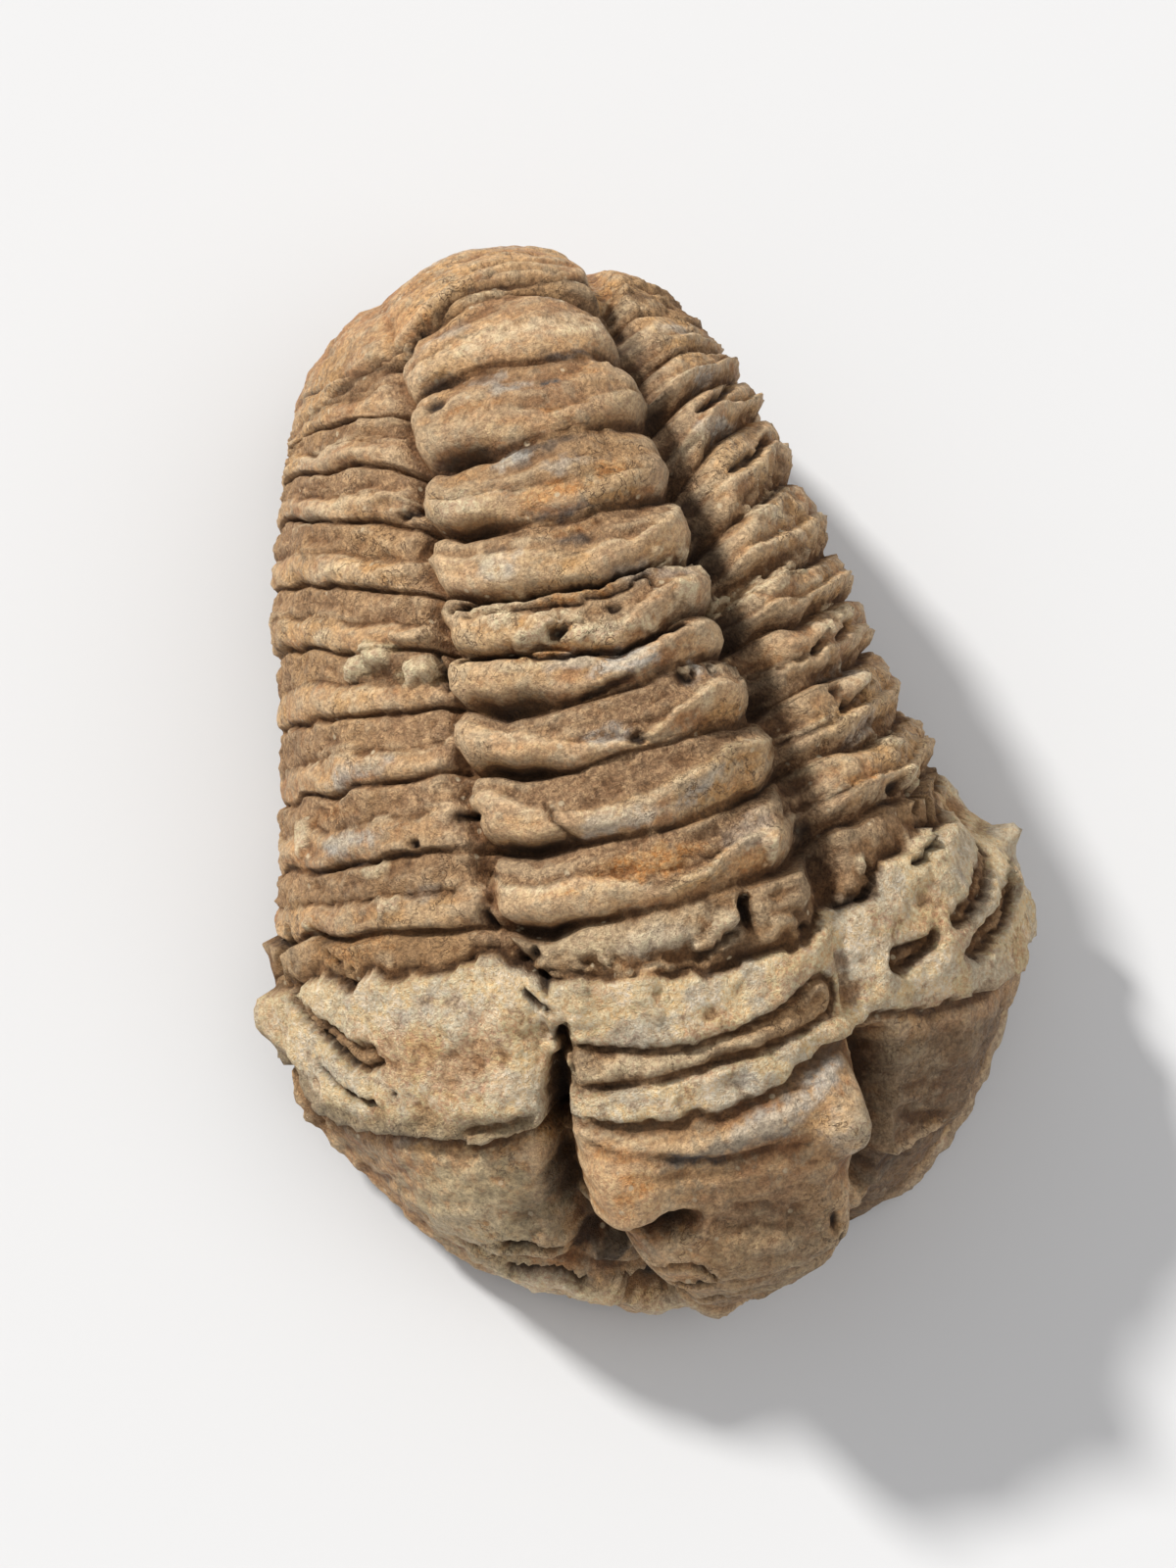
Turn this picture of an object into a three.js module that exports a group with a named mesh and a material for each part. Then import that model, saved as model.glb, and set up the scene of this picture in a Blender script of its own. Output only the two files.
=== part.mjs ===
// A calymenid trilobite fossil: one solid stone that lies on its worn belly.
// Millimetres, +Z up. The head points along -Y and the tail along +Y.
import * as THREE from "three";

// ---------------------------------------------------------------- driving dimensions

// Cross-sections from the snout to the tucked-in tail. Each row gives the crest (y, z), then the
// margin on the -X side (x, y, z) and the margin on the +X side (x, y, z).
const STATIONS = [
  [-37.5, 3.0, 0.0, -37.5, 3.0, 0.0, -37.5, 3.0],
  [-38.5, 9.5, -9.5, -36.3, 2.0, 9.5, -36.5, 2.0],
  [-35.5, 17.0, -16.2, -31.8, 2.0, 17.2, -31.0, 2.0],
  [-29.0, 22.5, -22.3, -24.6, 3.0, 24.2, -24.0, 3.0],
  [-21.0, 26.5, -27.0, -17.0, 4.0, 29.3, -13.0, 4.0],
  [-12.0, 29.5, -27.7, -6.0, 5.0, 26.4, -4.0, 5.0],
  [-2.0, 31.5, -25.7, 4.0, 5.0, 23.4, 5.0, 5.0],
  [8.0, 32.5, -23.3, 13.0, 5.0, 22.1, 13.0, 5.0],
  [18.0, 32.0, -22.0, 22.0, 5.0, 20.0, 22.0, 5.0],
  [28.0, 29.5, -19.3, 30.5, 5.0, 17.3, 30.5, 5.0],
  [36.0, 24.0, -15.9, 37.0, 5.0, 14.2, 37.0, 5.0],
  [40.0, 14.0, -12.0, 39.0, 4.0, 11.0, 39.0, 4.0],
  [38.0, 3.0, 0.0, 38.0, 3.0, 0.0, 38.0, 3.0],
];
const SHOULDER_WIDTH = 0.85; // exponents of the arch between crest and margin
const SHOULDER_HEIGHT = 0.9;

// Worn belly: how far the margin rolls in before the flat begins, and at most what share of the
// half-width that is; what share of the way across the roll takes; and where it fades out
// towards the snout and the tail.
const BELLY_ROLL = 5.5;
const BELLY_ROLL_SHARE = 0.45;
const BELLY_EDGE = 0.28;
const BELLY_FADE = 0.07;

// The two grooves beside the middle lobe: distance s along the crest from the snout, then how
// far across the groove lies on the -X side and on the +X side.
const AXIS_GROOVES = [
  [0, -1.5, 6.0],
  [6, -3.0, 8.2],
  [10, -4.8, 9.6],
  [14, -6.4, 10.6],
  [20, -9.6, 12.4],
  [26, -9.8, 12.3],
  [28, -9.7, 11.2],
  [36, -9.6, 11.0],
  [40, -11.3, 11.9],
  [50, -12.0, 11.9],
  [60, -11.6, 10.1],
  [70, -10.9, 9.2],
  [80, -10.4, 8.0],
  [90, -10.0, 6.8],
  [96, -9.6, 6.4],
  [105, -6.5, 4.8],
  [116, -2.0, 2.0],
];

// Along the same s: height of the middle lobe, how square its arch is (a lower number is
// squarer), then depth and width of the groove on the -X side and of the one on the +X side.
const AXIS_RELIEF = [
  [0, 0.2, 0.6, 0.2, 1.6, 0.2, 1.6],
  [8, 0.9, 0.6, 1.6, 1.6, 1.2, 1.6],
  [13, 2.6, 0.6, 2.6, 1.8, 2.4, 1.8],
  [18, 3.8, 0.6, 2.8, 1.8, 3.2, 2.0],
  [23, 3.6, 0.6, 2.2, 1.4, 3.4, 2.0],
  [26, 3.0, 0.6, 1.2, 1.2, 2.4, 1.7],
  [29, 2.4, 0.6, 0.4, 1.2, 0.2, 1.4],
  [36, 2.0, 0.6, 0.4, 1.2, 0.4, 1.4],
  [40, 2.4, 0.6, 1.0, 1.0, 2.6, 1.8],
  [60, 2.9, 0.6, 1.1, 1.0, 3.0, 1.8],
  [80, 2.7, 0.6, 1.1, 1.0, 2.6, 1.5],
  [86, 2.3, 0.6, 0.5, 1.2, 2.2, 1.5],
  [90, 2.2, 1.0, 0.0, 1.6, 1.8, 1.5],
  [97, 1.8, 1.1, 0.0, 1.8, 1.2, 1.5],
  [105, 0.8, 0.6, 0.2, 2.0, 0.2, 2.0],
  [116, 0.0, 0.6, 0.0, 2.0, 0.0, 2.0],
];

// Where the rings and ribs fade in behind the head and out in front of the tail.
const RINGS = { fromS: 38.6, fadeIn: 1.2, toS: 90, fadeOut: 3 };

// How much narrower the middle lobe is at a furrow than in the middle of a ring, by side, and how
// round that makes the ends of the rings (a lower number is rounder).
const RING_ENDS = { minusX: 0.12, plusX: 0.4, roundness: 2.5 };

// The furrow in front of each body ring: s on the crest line, then how far towards the
// tail the furrow sweeps at each of the distances across in SWEEP_ACROSS.
const SWEEP_ACROSS = [-42, -30, -20, -13, -8, 0, 8, 13, 20, 30, 42];
const FURROWS = [
  [39.8, 3.2, 2.8, 1.9, 1.5, -0.4, 0, 1.0, 2.7, 3.7, 4.5, 5.0],
  [45.4, 2.6, 2.3, 1.7, 1.0, -0.4, 0, 0.8, 2.0, 3.0, 4.0, 4.4],
  [50.8, 2.8, 2.4, 1.7, 1.3, -0.5, 0, 0.6, 1.8, 3.2, 4.4, 5.0],
  [55.2, 5.0, 4.2, 2.4, 2.0, -0.4, 0, 0.9, 2.5, 4.0, 5.2, 6.0],
  [57.9, 8.4, 7.3, 4.7, 3.1, 1.3, 0, 1.6, 3.7, 5.0, 6.6, 7.6],
  [62.4, 10.0, 8.6, 5.2, 2.8, 0.6, 0, 1.8, 4.6, 7.1, 8.6, 9.6],
  [67.2, 11.4, 10.1, 6.4, 3.4, 0.5, 0, 2.3, 5.8, 8.5, 9.8, 10.6],
  [73.3, 9.2, 8.2, 5.1, 2.6, 0.4, 0, 1.7, 4.4, 6.4, 8.0, 8.8],
  [79.9, 6.2, 5.1, 3.3, 0.8, 0.3, 0, 0.6, 1.9, 3.1, 4.5, 5.4],
  [87.0, 2.6, 2.0, 0.5, -1.0, -0.6, 0, -0.8, -1.4, -1.4, -0.4, 0.4],
];
const HEAD_END = 34; // s where the sweep of the furrows has faded out in the head
const TAIL_START = 97; // s where it has faded out in the tail

// Height from one furrow to the next, of a ring on the middle lobe and of a rib beside it: how
// far on from the furrow, then the height on the -X side and on the +X side.
const RING_PROFILE = [
  [0, -0.95, -1.1],
  [0.14, 0.25, -0.5],
  [0.28, 0.5, 0.2],
  [0.46, 0.45, 0.65],
  [0.54, 0.0, 0.1],
  [0.8, -0.1, -0.1],
  [1, -0.95, -1.1],
];
const RIB_PROFILE = [
  [0, -0.7, -1.0],
  [0.14, 0.2, -0.55],
  [0.28, 0.3, 0.2],
  [0.46, 0.0, 0.7],
  [0.54, 0.1, 0.1],
  [0.8, 0.0, 0.3],
  [1, -0.7, -1.0],
];
const PLUS_X_PROFILE = { fromT: -1, over: 5 }; // where the rings change from one to the other
const SHALLOW_FURROWS = { share: 0.65, t: 0.5, half: 4.5 }; // where they cross the crest

// The ribs are fainter low on the -X flank, and the last rings and ribs fainter than the rest.
const FAINT_FLANK = { share: 0.6, fromT: -26, over: 8 };
const FAINT_LAST = { share: 0.45, fromS: 78, over: 4 };

// How far the flanks beside the rings fall away below the smooth body. On the -X side the drop
// changes along the crest.
const FLANK_DROP = {
  plusX: 0.25,
  minusXFront: 1,
  minusXRear: 0.3,
  rearFromS: 54,
  rearOver: 8,
  fromT: 20,
  over: 10,
};

// Pockets under the rings' front edges: the furrow, t at the middle, half-length, depth.
const POCKETS = [
  [39.8, -8.4, 2.2, 1.7],
  [45.4, -8.2, 2.8, 1.9],
  [50.8, -7.9, 2.4, 1.9],
  [55.2, -7.4, 2.6, 1.7],
  [67.2, -7.4, 2.0, 1.5],
  [73.3, -6.8, 2.3, 1.5],
];
const POCKET_BEHIND = 0.4; // how far behind the furrow a pocket lies, and its width along s
const POCKET_WIDTH = 0.6;

// The broken sheet of stone over the back of the head: its two edges as (t across, s along). It
// thins to a share of its height at the margin and across the front of the middle lobe.
const HEAD_SHEET = {
  height: 0.8,
  edge: 0.6,
  atMargin: { share: 0.5, reach: 5 },
  onLobe: { share: 0.45, reach: 3, half: 10 },
  rear: [
    [-38, 39.0],
    [-29, 39.9],
    [-24.5, 38.6],
    [-17, 38.4],
    [-12.5, 39.2],
    [-9.5, 36.6],
    [2, 34.9],
    [8.3, 35.5],
    [12, 37.8],
    [14.5, 37.0],
    [17.4, 39.3],
    [24, 40.4],
    [35, 43.0],
  ],
  front: [
    [-38, 35.2],
    [-34, 33.4],
    [-31, 30.6],
    [-27, 28.9],
    [-20, 27.6],
    [-14.5, 26.7],
    [-9, 27.2],
    [-3, 26.2],
    [3, 26.6],
    [9, 28.5],
    [14, 29.4],
    [20, 28.5],
    [29, 29.0],
    [35, 30.5],
  ],
};

// The tail shield laps forward over the last rings. Its front edge, as (t across, s along), and
// how much it stands up, as (t across, height).
const TAIL_SHIELD = {
  edge: 0.6,
  front: [
    [-42, 87.0],
    [-16, 85.4],
    [-11, 86.2],
    [-9.5, 85.5],
    [-5.4, 87.9],
    [0, 88.7],
    [7.2, 88.3],
    [9.2, 91.5],
    [13, 93.5],
    [42, 94.5],
  ],
  height: [
    [-42, 0.1],
    [-20, 0.3],
    [-12, 0.8],
    [5.5, 0.6],
    [8.5, 0.2],
    [42, 0.0],
  ],
};

// Swellings and dips: s, t, half-length along s and along t, height, and how firm the edge is.
const LOBES = {
  plusXEar: [23.4, 9.8, 2.3, 2.8, 1.8, 1.9],
  minusXEar: [21.9, -6.5, 2.9, 3.2, 1.9, 1.8],
  browDip: [18.4, 2.5, 2.2, 5.0, -0.7, 1.4],
  plusXBrowDip: [19.4, 10.2, 1.9, 2.2, -1.3, 1.5],
  forehead: [11.0, 0.8, 4.5, 7.0, 0.8, 1.5],
  plusXSnout: [5.0, 8.5, 4.6, 4.2, -1.0, 1.4],
  snoutLip: [4.4, -3.5, 2.2, 6.0, 1.1, 1.6],
  browPit: [18.7, -4.3, 1.1, 1.9, -2.2, 1.0],
  snoutPit: [7.6, -5.4, 1.2, 1.9, -2.2, 1.0],
  minusXCheek: [22.5, -19.5, 7.0, 7.5, 1.2, 1.0],
  minusXCheekDip: [20.0, -13.5, 4.0, 2.6, -0.7, 1.2],
  minusXCheekToe: [12.8, -9.0, 2.4, 3.2, -1.2, 1.3],
  plusXCheek: [24.5, 22.0, 5.0, 5.0, 0.9, 1.0],
  plusXCheekDip: [21.5, 17.5, 5.5, 4.0, -1.4, 1.2],
  plusXCheekToe: [9.6, 14.5, 3.0, 3.4, -2.4, 1.5],
  plusXCorner: [37.0, 36.5, 1.3, 2.6, 1.5, 1.4],
  plusXShoulder: [41.3, 33.0, 2.8, 6.0, -2.0, 1.4],
  minusXCorner: [37.2, -38.0, 2.6, 3.0, 1.1, 1.2],
  minusXRibLump: [67.5, -31.0, 1.8, 3.2, 1.0, 1.2],
};

// Deep hollows with sloping walls, and the long window through the sheet: depth, how wide the
// slope is, then the outline as (s, t). At the outline the wall is HOLLOW_LIP down its slope.
const HOLLOW_LIP = 0.35;
const HOLLOWS = {
  slotInSheet: {
    depth: 3.0,
    slope: 1.4,
    outline: [
      [33.8, -8.5],
      [31.0, -8.3],
      [28.0, -9.0],
      [25.0, -9.4],
      [24.9, -11.2],
      [26.5, -11.8],
      [30.3, -10.4],
      [32.5, -9.6],
    ],
  },
  minusXGully: {
    depth: 2.8,
    slope: 3.2,
    outline: [
      [26.4, -9.6],
      [22.0, -9.9],
      [17.8, -8.8],
      [15.2, -6.2],
      [13.6, -6.4],
      [13.4, -9.0],
      [14.2, -11.8],
      [20.0, -12.3],
      [25.6, -11.2],
    ],
  },
  plusXGully: {
    depth: 2.6,
    slope: 3.2,
    outline: [
      [28.4, 11.8],
      [24.0, 13.2],
      [21.0, 13.3],
      [16.0, 11.6],
      [13.4, 12.8],
      [15.5, 14.4],
      [23.0, 15.2],
      [28.4, 14.2],
    ],
  },
  windowInSheet: {
    depth: 0.9,
    slope: 0.9,
    outline: [
      [32.4, -8.4],
      [31.1, -3.0],
      [30.9, 0.0],
      [31.2, 3.0],
      [33.4, 8.8],
      [32.4, 10.4],
      [30.2, 9.7],
      [29.5, 6.0],
      [28.8, 1.0],
      [28.7, -5.0],
      [28.8, -8.9],
    ],
  },
};

// Raised bands across the head: s at the crest, bow per mm² across, half-width, height, reach.
const BANDS = {
  neckRing: [24.3, 0.03, 1.2, 0.55, 9.0],
  neckFurrow: [22.3, 0.02, 0.9, -0.35, 6.0],
  firstRing: [38.4, 0.006, 0.9, 0.5, 11.0],
};

// The rim along the margin of the head, by side: how far in, half-width and height, and the s
// where it ends. Both rims begin at the same s.
const RIM_FROM_S = 10;
const RIM = {
  minusX: { from: 1.7, width: 1.3, height: 0.7, toS: 36 },
  plusX: { from: 0.2, width: 1.8, height: 1.8, toS: 31 },
};

// The front rim runs below the snout and the -X cheek, as (t across, s along). A groove lies
// above it.
const FRONT_RIM_SHAPE = {
  fromT: -24,
  toT: 7,
  fade: 3,
  height: 0.5,
  width: 1.2,
  groove: 0.9,
  grooveAbove: 2.2,
  grooveWidth: 0.8,
};
const FRONT_RIM = [
  [-22, 16.0],
  [-18, 14.2],
  [-14, 12.8],
  [-10, 10.6],
  [-7, 8.4],
  [-4, 6.2],
  [-1, 4.2],
  [2, 3.0],
  [6, 2.6],
];

// How far the relief takes to rise from nothing at the snout and at the tucked-in tail, and how
// far it runs on under the belly as a share of the belly's half-width.
const SNOUT_FADE = 2;
const TAIL_FADE = 4;
const UNDER_MARGIN = 0.5;

// How finely the skin is divided.
const HEAD_ROWS = 30;
const RING_STEPS = [0, 0.14, 0.28, 0.46, 0.54, 0.8];
const TAIL_ROWS = 8;
const BACK_COLUMNS = 42;
const BELLY_COLUMNS = 9;
const GROOVE_GATHER = 0.045; // pulls the columns together around the grooves beside the lobe

// ---------------------------------------------------------------- small mathematics

const clamp = (v, low, high) => Math.min(Math.max(v, low), high);
const mix = (a, b, k) => a + (b - a) * k;
const smooth = (v) => {
  const k = clamp(v, 0, 1);
  return k * k * (3 - 2 * k);
};
const bell = (v) => Math.exp(-v * v);

// Straight-line interpolation of column `column` in rows sorted by their first value.
function along(rows, x, column) {
  if (x <= rows[0][0]) return rows[0][column];
  for (let i = 1; i < rows.length; i += 1) {
    if (x <= rows[i][0]) {
      const k = (x - rows[i - 1][0]) / (rows[i][0] - rows[i - 1][0]);
      return mix(rows[i - 1][column], rows[i][column], k);
    }
  }
  return rows[rows.length - 1][column];
}

// Slopes of a curve through evenly spaced values that never overshoots between them.
function gentleSlopes(values) {
  const step = values.slice(1).map((v, i) => v - values[i]);
  const last = step.length - 1;
  const end = (near, next) => {
    const slope = (3 * near - next) / 2;
    if (slope * near <= 0) return 0;
    if (near * next < 0 && Math.abs(slope) > 3 * Math.abs(near)) return 3 * near;
    return slope;
  };
  const inner = step.slice(1).map((d, i) => {
    const before = step[i];
    return before * d <= 0 ? 0 : (2 * before * d) / (before + d);
  });
  return [end(step[0], step[1]), ...inner, end(step[last], step[last - 1])];
}

// A curve for each column of the station table, as a function of u from 0 to 1.
const stationCurves = STATIONS[0].map((_, column) => {
  const values = STATIONS.map((row) => row[column]);
  const slopes = gentleSlopes(values);
  return (u) => {
    const x = clamp(u, 0, 1) * (values.length - 1);
    const i = Math.min(Math.floor(x), values.length - 2);
    const k = x - i;
    const a = values[i];
    const b = values[i + 1];
    const k2 = k * k;
    const k3 = k2 * k;
    return (
      a * (2 * k3 - 3 * k2 + 1) +
      b * (3 * k2 - 2 * k3) +
      slopes[i] * (k3 - 2 * k2 + k) +
      slopes[i + 1] * (k3 - k2)
    );
  };
});

// How far inside a closed outline of (s, t) points a place is, and negative outside.
function outlineDepth(s, t, outline) {
  let inside = false;
  let distance = Infinity;
  outline.forEach(([s1, t1], i) => {
    const [s0, t0] = outline[(i + outline.length - 1) % outline.length];
    const spans = t0 > t !== t1 > t;
    if (spans && s < s0 + ((t - t0) * (s1 - s0)) / (t1 - t0)) inside = !inside;
    const lengthSquared = (s1 - s0) ** 2 + (t1 - t0) ** 2;
    const k = clamp(((s - s0) * (s1 - s0) + (t - t0) * (t1 - t0)) / lengthSquared, 0, 1);
    distance = Math.min(distance, Math.hypot(s - mix(s0, s1, k), t - mix(t0, t1, k)));
  });
  return inside ? distance : -distance;
}

// ---------------------------------------------------------------- the smooth body

// A point of the smooth body. u runs from snout to tail. q runs across the back from -1 at the
// -X margin to 1 at the +X margin, and on under the belly to 3, back at the -X margin.
function bodyPoint(u, q) {
  const [cy, cz, lx, ly, lz, rx, ry, rz] = stationCurves.map((curve) => curve(u));
  if (q <= 1) {
    const angle = (Math.abs(q) * Math.PI) / 2;
    const out = Math.sin(angle) ** SHOULDER_WIDTH;
    const fall = 1 - Math.max(Math.cos(angle), 0) ** SHOULDER_HEIGHT;
    const [mx, my, mz] = q < 0 ? [lx, ly, lz] : [rx, ry, rz];
    return new THREE.Vector3(mx * out, mix(cy, my, fall), mix(cz, mz, fall));
  }
  const k = (q - 1) / 2;
  const near = Math.min(k, 1 - k) / BELLY_EDGE;
  const roll = Math.min(BELLY_ROLL, (BELLY_ROLL_SHARE * (rx - lx)) / 2);
  const turn = (Math.min(near, 1) * Math.PI) / 2;
  const inset = (roll * (1 - Math.cos(turn))) / (rx - lx + 1e-9);
  const across = near < 1 ? inset : mix(roll / (rx - lx), 0.5, (near - 1) / (0.5 / BELLY_EDGE - 1));
  const place = k < 0.5 ? across : 1 - across;
  const height = mix(rz, lz, place);
  const settle = smooth(Math.min(u, 1 - u) / BELLY_FADE);
  const drop = height * settle * Math.sin(turn);
  return new THREE.Vector3(mix(rx, lx, place), mix(ry, ly, place), height - drop);
}

// Outward direction of the smooth body.
function bodyNormal(u, q) {
  const h = 1e-3;
  const u0 = clamp(u - h, 1e-4, 1 - 1e-4);
  const u1 = clamp(u + h, 1e-4, 1 - 1e-4);
  const lengthwise = bodyPoint(u1, q).sub(bodyPoint(u0, q));
  const crosswise = bodyPoint(u, q + h).sub(bodyPoint(u, q - h));
  return crosswise.cross(lengthwise).normalize();
}

// Distance along the crest for evenly spaced u, and its inverse.
const CREST_STEPS = 400;
const crestLength = [0];
for (let i = 1; i <= CREST_STEPS; i += 1) {
  const step = bodyPoint(i / CREST_STEPS, 0).distanceTo(bodyPoint((i - 1) / CREST_STEPS, 0));
  crestLength.push(crestLength[i - 1] + step);
}
const BODY_LENGTH = crestLength[CREST_STEPS];
function uAt(s) {
  const target = clamp(s, 0, BODY_LENGTH);
  const i = clamp(crestLength.findIndex((v) => v >= target), 1, CREST_STEPS);
  const k = (target - crestLength[i - 1]) / (crestLength[i] - crestLength[i - 1]);
  return (i - 1 + k) / CREST_STEPS;
}

// Distance across the back from the crest to q, negative on the -X side.
function acrossAt(u, q) {
  const steps = 16;
  let length = 0;
  let before = bodyPoint(u, 0);
  for (let i = 1; i <= steps; i += 1) {
    const next = bodyPoint(u, (q * i) / steps);
    length += next.distanceTo(before);
    before = next;
  }
  return Math.sign(q) * length;
}

// How far towards the tail a line that crosses the crest at s has swept at t across.
const SWEEP_ROWS = [[HEAD_END, ...SWEEP_ACROSS.map(() => 0)], ...FURROWS];
SWEEP_ROWS.push([TAIL_START, ...SWEEP_ACROSS.map(() => 0)]);
function sweep(s, t) {
  const columns = SWEEP_ACROSS.map((across, i) => [across, along(SWEEP_ROWS, s, i + 1)]);
  return along(columns, t, 1);
}

// ---------------------------------------------------------------- relief on the back

// Where s falls between two furrows, from 0 to 1, and how strongly the rings show there.
function ringPlace(line) {
  const marks = FURROWS.map((row) => row[0]);
  const i = marks.findIndex((mark, k) => line >= mark && line < marks[k + 1]);
  if (i < 0) return { phase: 0, fade: 0 };
  const phase = (line - marks[i]) / (marks[i + 1] - marks[i]);
  const fadeIn = smooth((line - RINGS.fromS) / RINGS.fadeIn);
  return { phase, fade: fadeIn * smooth((RINGS.toS - line) / RINGS.fadeOut) };
}

// The raised lobe along the middle and the two grooves beside it. The ends of its rings are
// rounded, so the lobe is narrower at the furrows.
function middleLobe(s, t, ring) {
  const left = along(AXIS_GROOVES, s, 1);
  const right = along(AXIS_GROOVES, s, 2);
  const narrowing = ring.fade * Math.abs(2 * ring.phase - 1) ** RING_ENDS.roundness;
  let x = (t - (left + right) / 2) / ((right - left) / 2);
  x *= 1 + narrowing * (x > 0 ? RING_ENDS.plusX : RING_ENDS.minusX);
  const dome = along(AXIS_RELIEF, s, 1) * Math.max(0, 1 - x * x) ** along(AXIS_RELIEF, s, 2);
  const leftGroove = along(AXIS_RELIEF, s, 3) * bell((t - left) / along(AXIS_RELIEF, s, 4));
  const fromRight = (t - right) / along(AXIS_RELIEF, s, 6);
  const rightGroove = along(AXIS_RELIEF, s, 5) * bell(fromRight * fromRight);
  return { height: dome - leftGroove - rightGroove, onAxis: smooth((1.1 - Math.abs(x)) * 6) };
}

// `line` is s carried back along the furrows to the crest, so that a furrow has one value of it.
function ringsAndRibs(line, t, ring, onAxis) {
  const towardsPlusX = smooth((t - PLUS_X_PROFILE.fromT) / PLUS_X_PROFILE.over);
  const { share, t: middle, half } = SHALLOW_FURROWS;
  const ringHeight = mix(
    along(RING_PROFILE, ring.phase, 1),
    along(RING_PROFILE, ring.phase, 2),
    towardsPlusX,
  );
  const ribHeight = along(RIB_PROFILE, ring.phase, t < 0 ? 1 : 2);
  let height = mix(ribHeight, ringHeight, onAxis);
  if (height < 0) height *= 1 - share * onAxis * bell(((t - middle) / half) ** 2);
  height *= mix(1, FAINT_FLANK.share, smooth((FAINT_FLANK.fromT - t) / FAINT_FLANK.over));
  height *= mix(1, FAINT_LAST.share, smooth((line - FAINT_LAST.fromS) / FAINT_LAST.over));
  return ring.fade * height;
}

// The flanks beside the rings fall away a little below the smooth body.
function flankDrop(s, t, ring) {
  const { plusX, minusXFront, minusXRear, rearFromS, rearOver, fromT, over } = FLANK_DROP;
  const minusX = mix(minusXFront, minusXRear, smooth((s - rearFromS) / rearOver));
  return ring.fade * (t > 0 ? plusX : minusX) * smooth((Math.abs(t) - fromT) / over);
}

function pockets(line, t) {
  let depth = 0;
  for (const [furrow, middle, half, deep] of POCKETS) {
    const beyond = (line - furrow - POCKET_BEHIND) / POCKET_WIDTH;
    depth += deep * bell(beyond) * bell(((t - middle) / half) ** 2);
  }
  return depth;
}

function headSheet(s, t, fromMargin) {
  const { height, atMargin, onLobe } = HEAD_SHEET;
  const behind = along(HEAD_SHEET.rear, t, 1) - s;
  const ahead = s - along(HEAD_SHEET.front, t, 1);
  const sheet = smooth(behind / HEAD_SHEET.edge + 0.5) * smooth(ahead / HEAD_SHEET.edge + 0.5);
  const besideLobe = smooth((Math.abs(t) - onLobe.half) / 2);
  const offLobe = clamp(smooth(ahead / onLobe.reach) + besideLobe, 0, 1);
  const inside = mix(atMargin.share, 1, smooth(fromMargin / atMargin.reach));
  return sheet * height * inside * mix(onLobe.share, 1, offLobe);
}

function tailShield(s, t) {
  const behindEdge = (s - along(TAIL_SHIELD.front, t, 1)) / TAIL_SHIELD.edge;
  return along(TAIL_SHIELD.height, t, 1) * smooth(behindEdge + 0.5);
}

function swellings(s, t) {
  let height = 0;
  for (const [ls, lt, alongS, alongT, rise, firm] of Object.values(LOBES)) {
    height += rise * bell(Math.hypot((s - ls) / alongS, (t - lt) / alongT) ** firm);
  }
  for (const [crest, bow, width, rise, reach] of Object.values(BANDS)) {
    const fade = smooth((reach + 1 - Math.abs(t)) / 2);
    height += fade * rise * bell((s - crest - bow * t * t) / width);
  }
  return height;
}

function hollows(s, t) {
  let depth = 0;
  for (const hollow of Object.values(HOLLOWS)) {
    depth += hollow.depth * smooth(outlineDepth(s, t, hollow.outline) / hollow.slope + HOLLOW_LIP);
  }
  return depth;
}

// The rim around the margin of the head, and the front rim with the groove above it.
function headRim(s, t, fromMargin) {
  const rim = t < 0 ? RIM.minusX : RIM.plusX;
  const inHead = smooth((rim.toS - s) / 3) * smooth((s - RIM_FROM_S) / 4);
  const above = s - along(FRONT_RIM, t, 1);
  const shape = FRONT_RIM_SHAPE;
  const reach = smooth((t - shape.fromT) / shape.fade) * smooth((shape.toT - t) / shape.fade);
  const front = shape.height * bell(above / shape.width);
  const groove = shape.groove * bell((above - shape.grooveAbove) / shape.grooveWidth);
  const edge = inHead * rim.height * bell((fromMargin - rim.from) / rim.width);
  return edge + reach * (front - groove);
}

// Height of the stone's skin above the smooth body.
function relief(line, s, t, fromMargin) {
  const ring = ringPlace(line);
  const axis = middleLobe(s, t, ring);
  let height = axis.height + ringsAndRibs(line, t, ring, axis.onAxis) - flankDrop(s, t, ring);
  height += headRim(s, t, fromMargin) + swellings(s, t);
  height += headSheet(s, t, fromMargin) + tailShield(s, t);
  height -= pockets(line, t) + hollows(s, t);
  return height * smooth(line / SNOUT_FADE) * smooth((BODY_LENGTH - line) / TAIL_FADE);
}

// ---------------------------------------------------------------- the skin as triangles

// Places of the rows of points along the crest, closest together over the rings.
function rowPlaces() {
  const places = [];
  const first = FURROWS[0][0];
  for (let i = 1; i < HEAD_ROWS; i += 1) places.push((first * i) / HEAD_ROWS);
  for (let i = 0; i + 1 < FURROWS.length; i += 1) {
    for (const step of RING_STEPS) places.push(mix(FURROWS[i][0], FURROWS[i + 1][0], step));
  }
  const last = FURROWS[FURROWS.length - 1][0];
  for (let i = 0; i < TAIL_ROWS; i += 1) places.push(mix(last, BODY_LENGTH, i / TAIL_ROWS));
  return places;
}

// Places of the columns: across the back, then around under the belly.
function columnPlaces() {
  const places = [];
  for (let i = 0; i <= BACK_COLUMNS; i += 1) {
    const q = mix(-1, 1, i / BACK_COLUMNS);
    places.push(q + GROOVE_GATHER * Math.sin(4 * Math.PI * q));
  }
  for (let i = 1; i < BELLY_COLUMNS; i += 1) places.push(mix(1, 3, i / BELLY_COLUMNS));
  return places;
}

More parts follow.
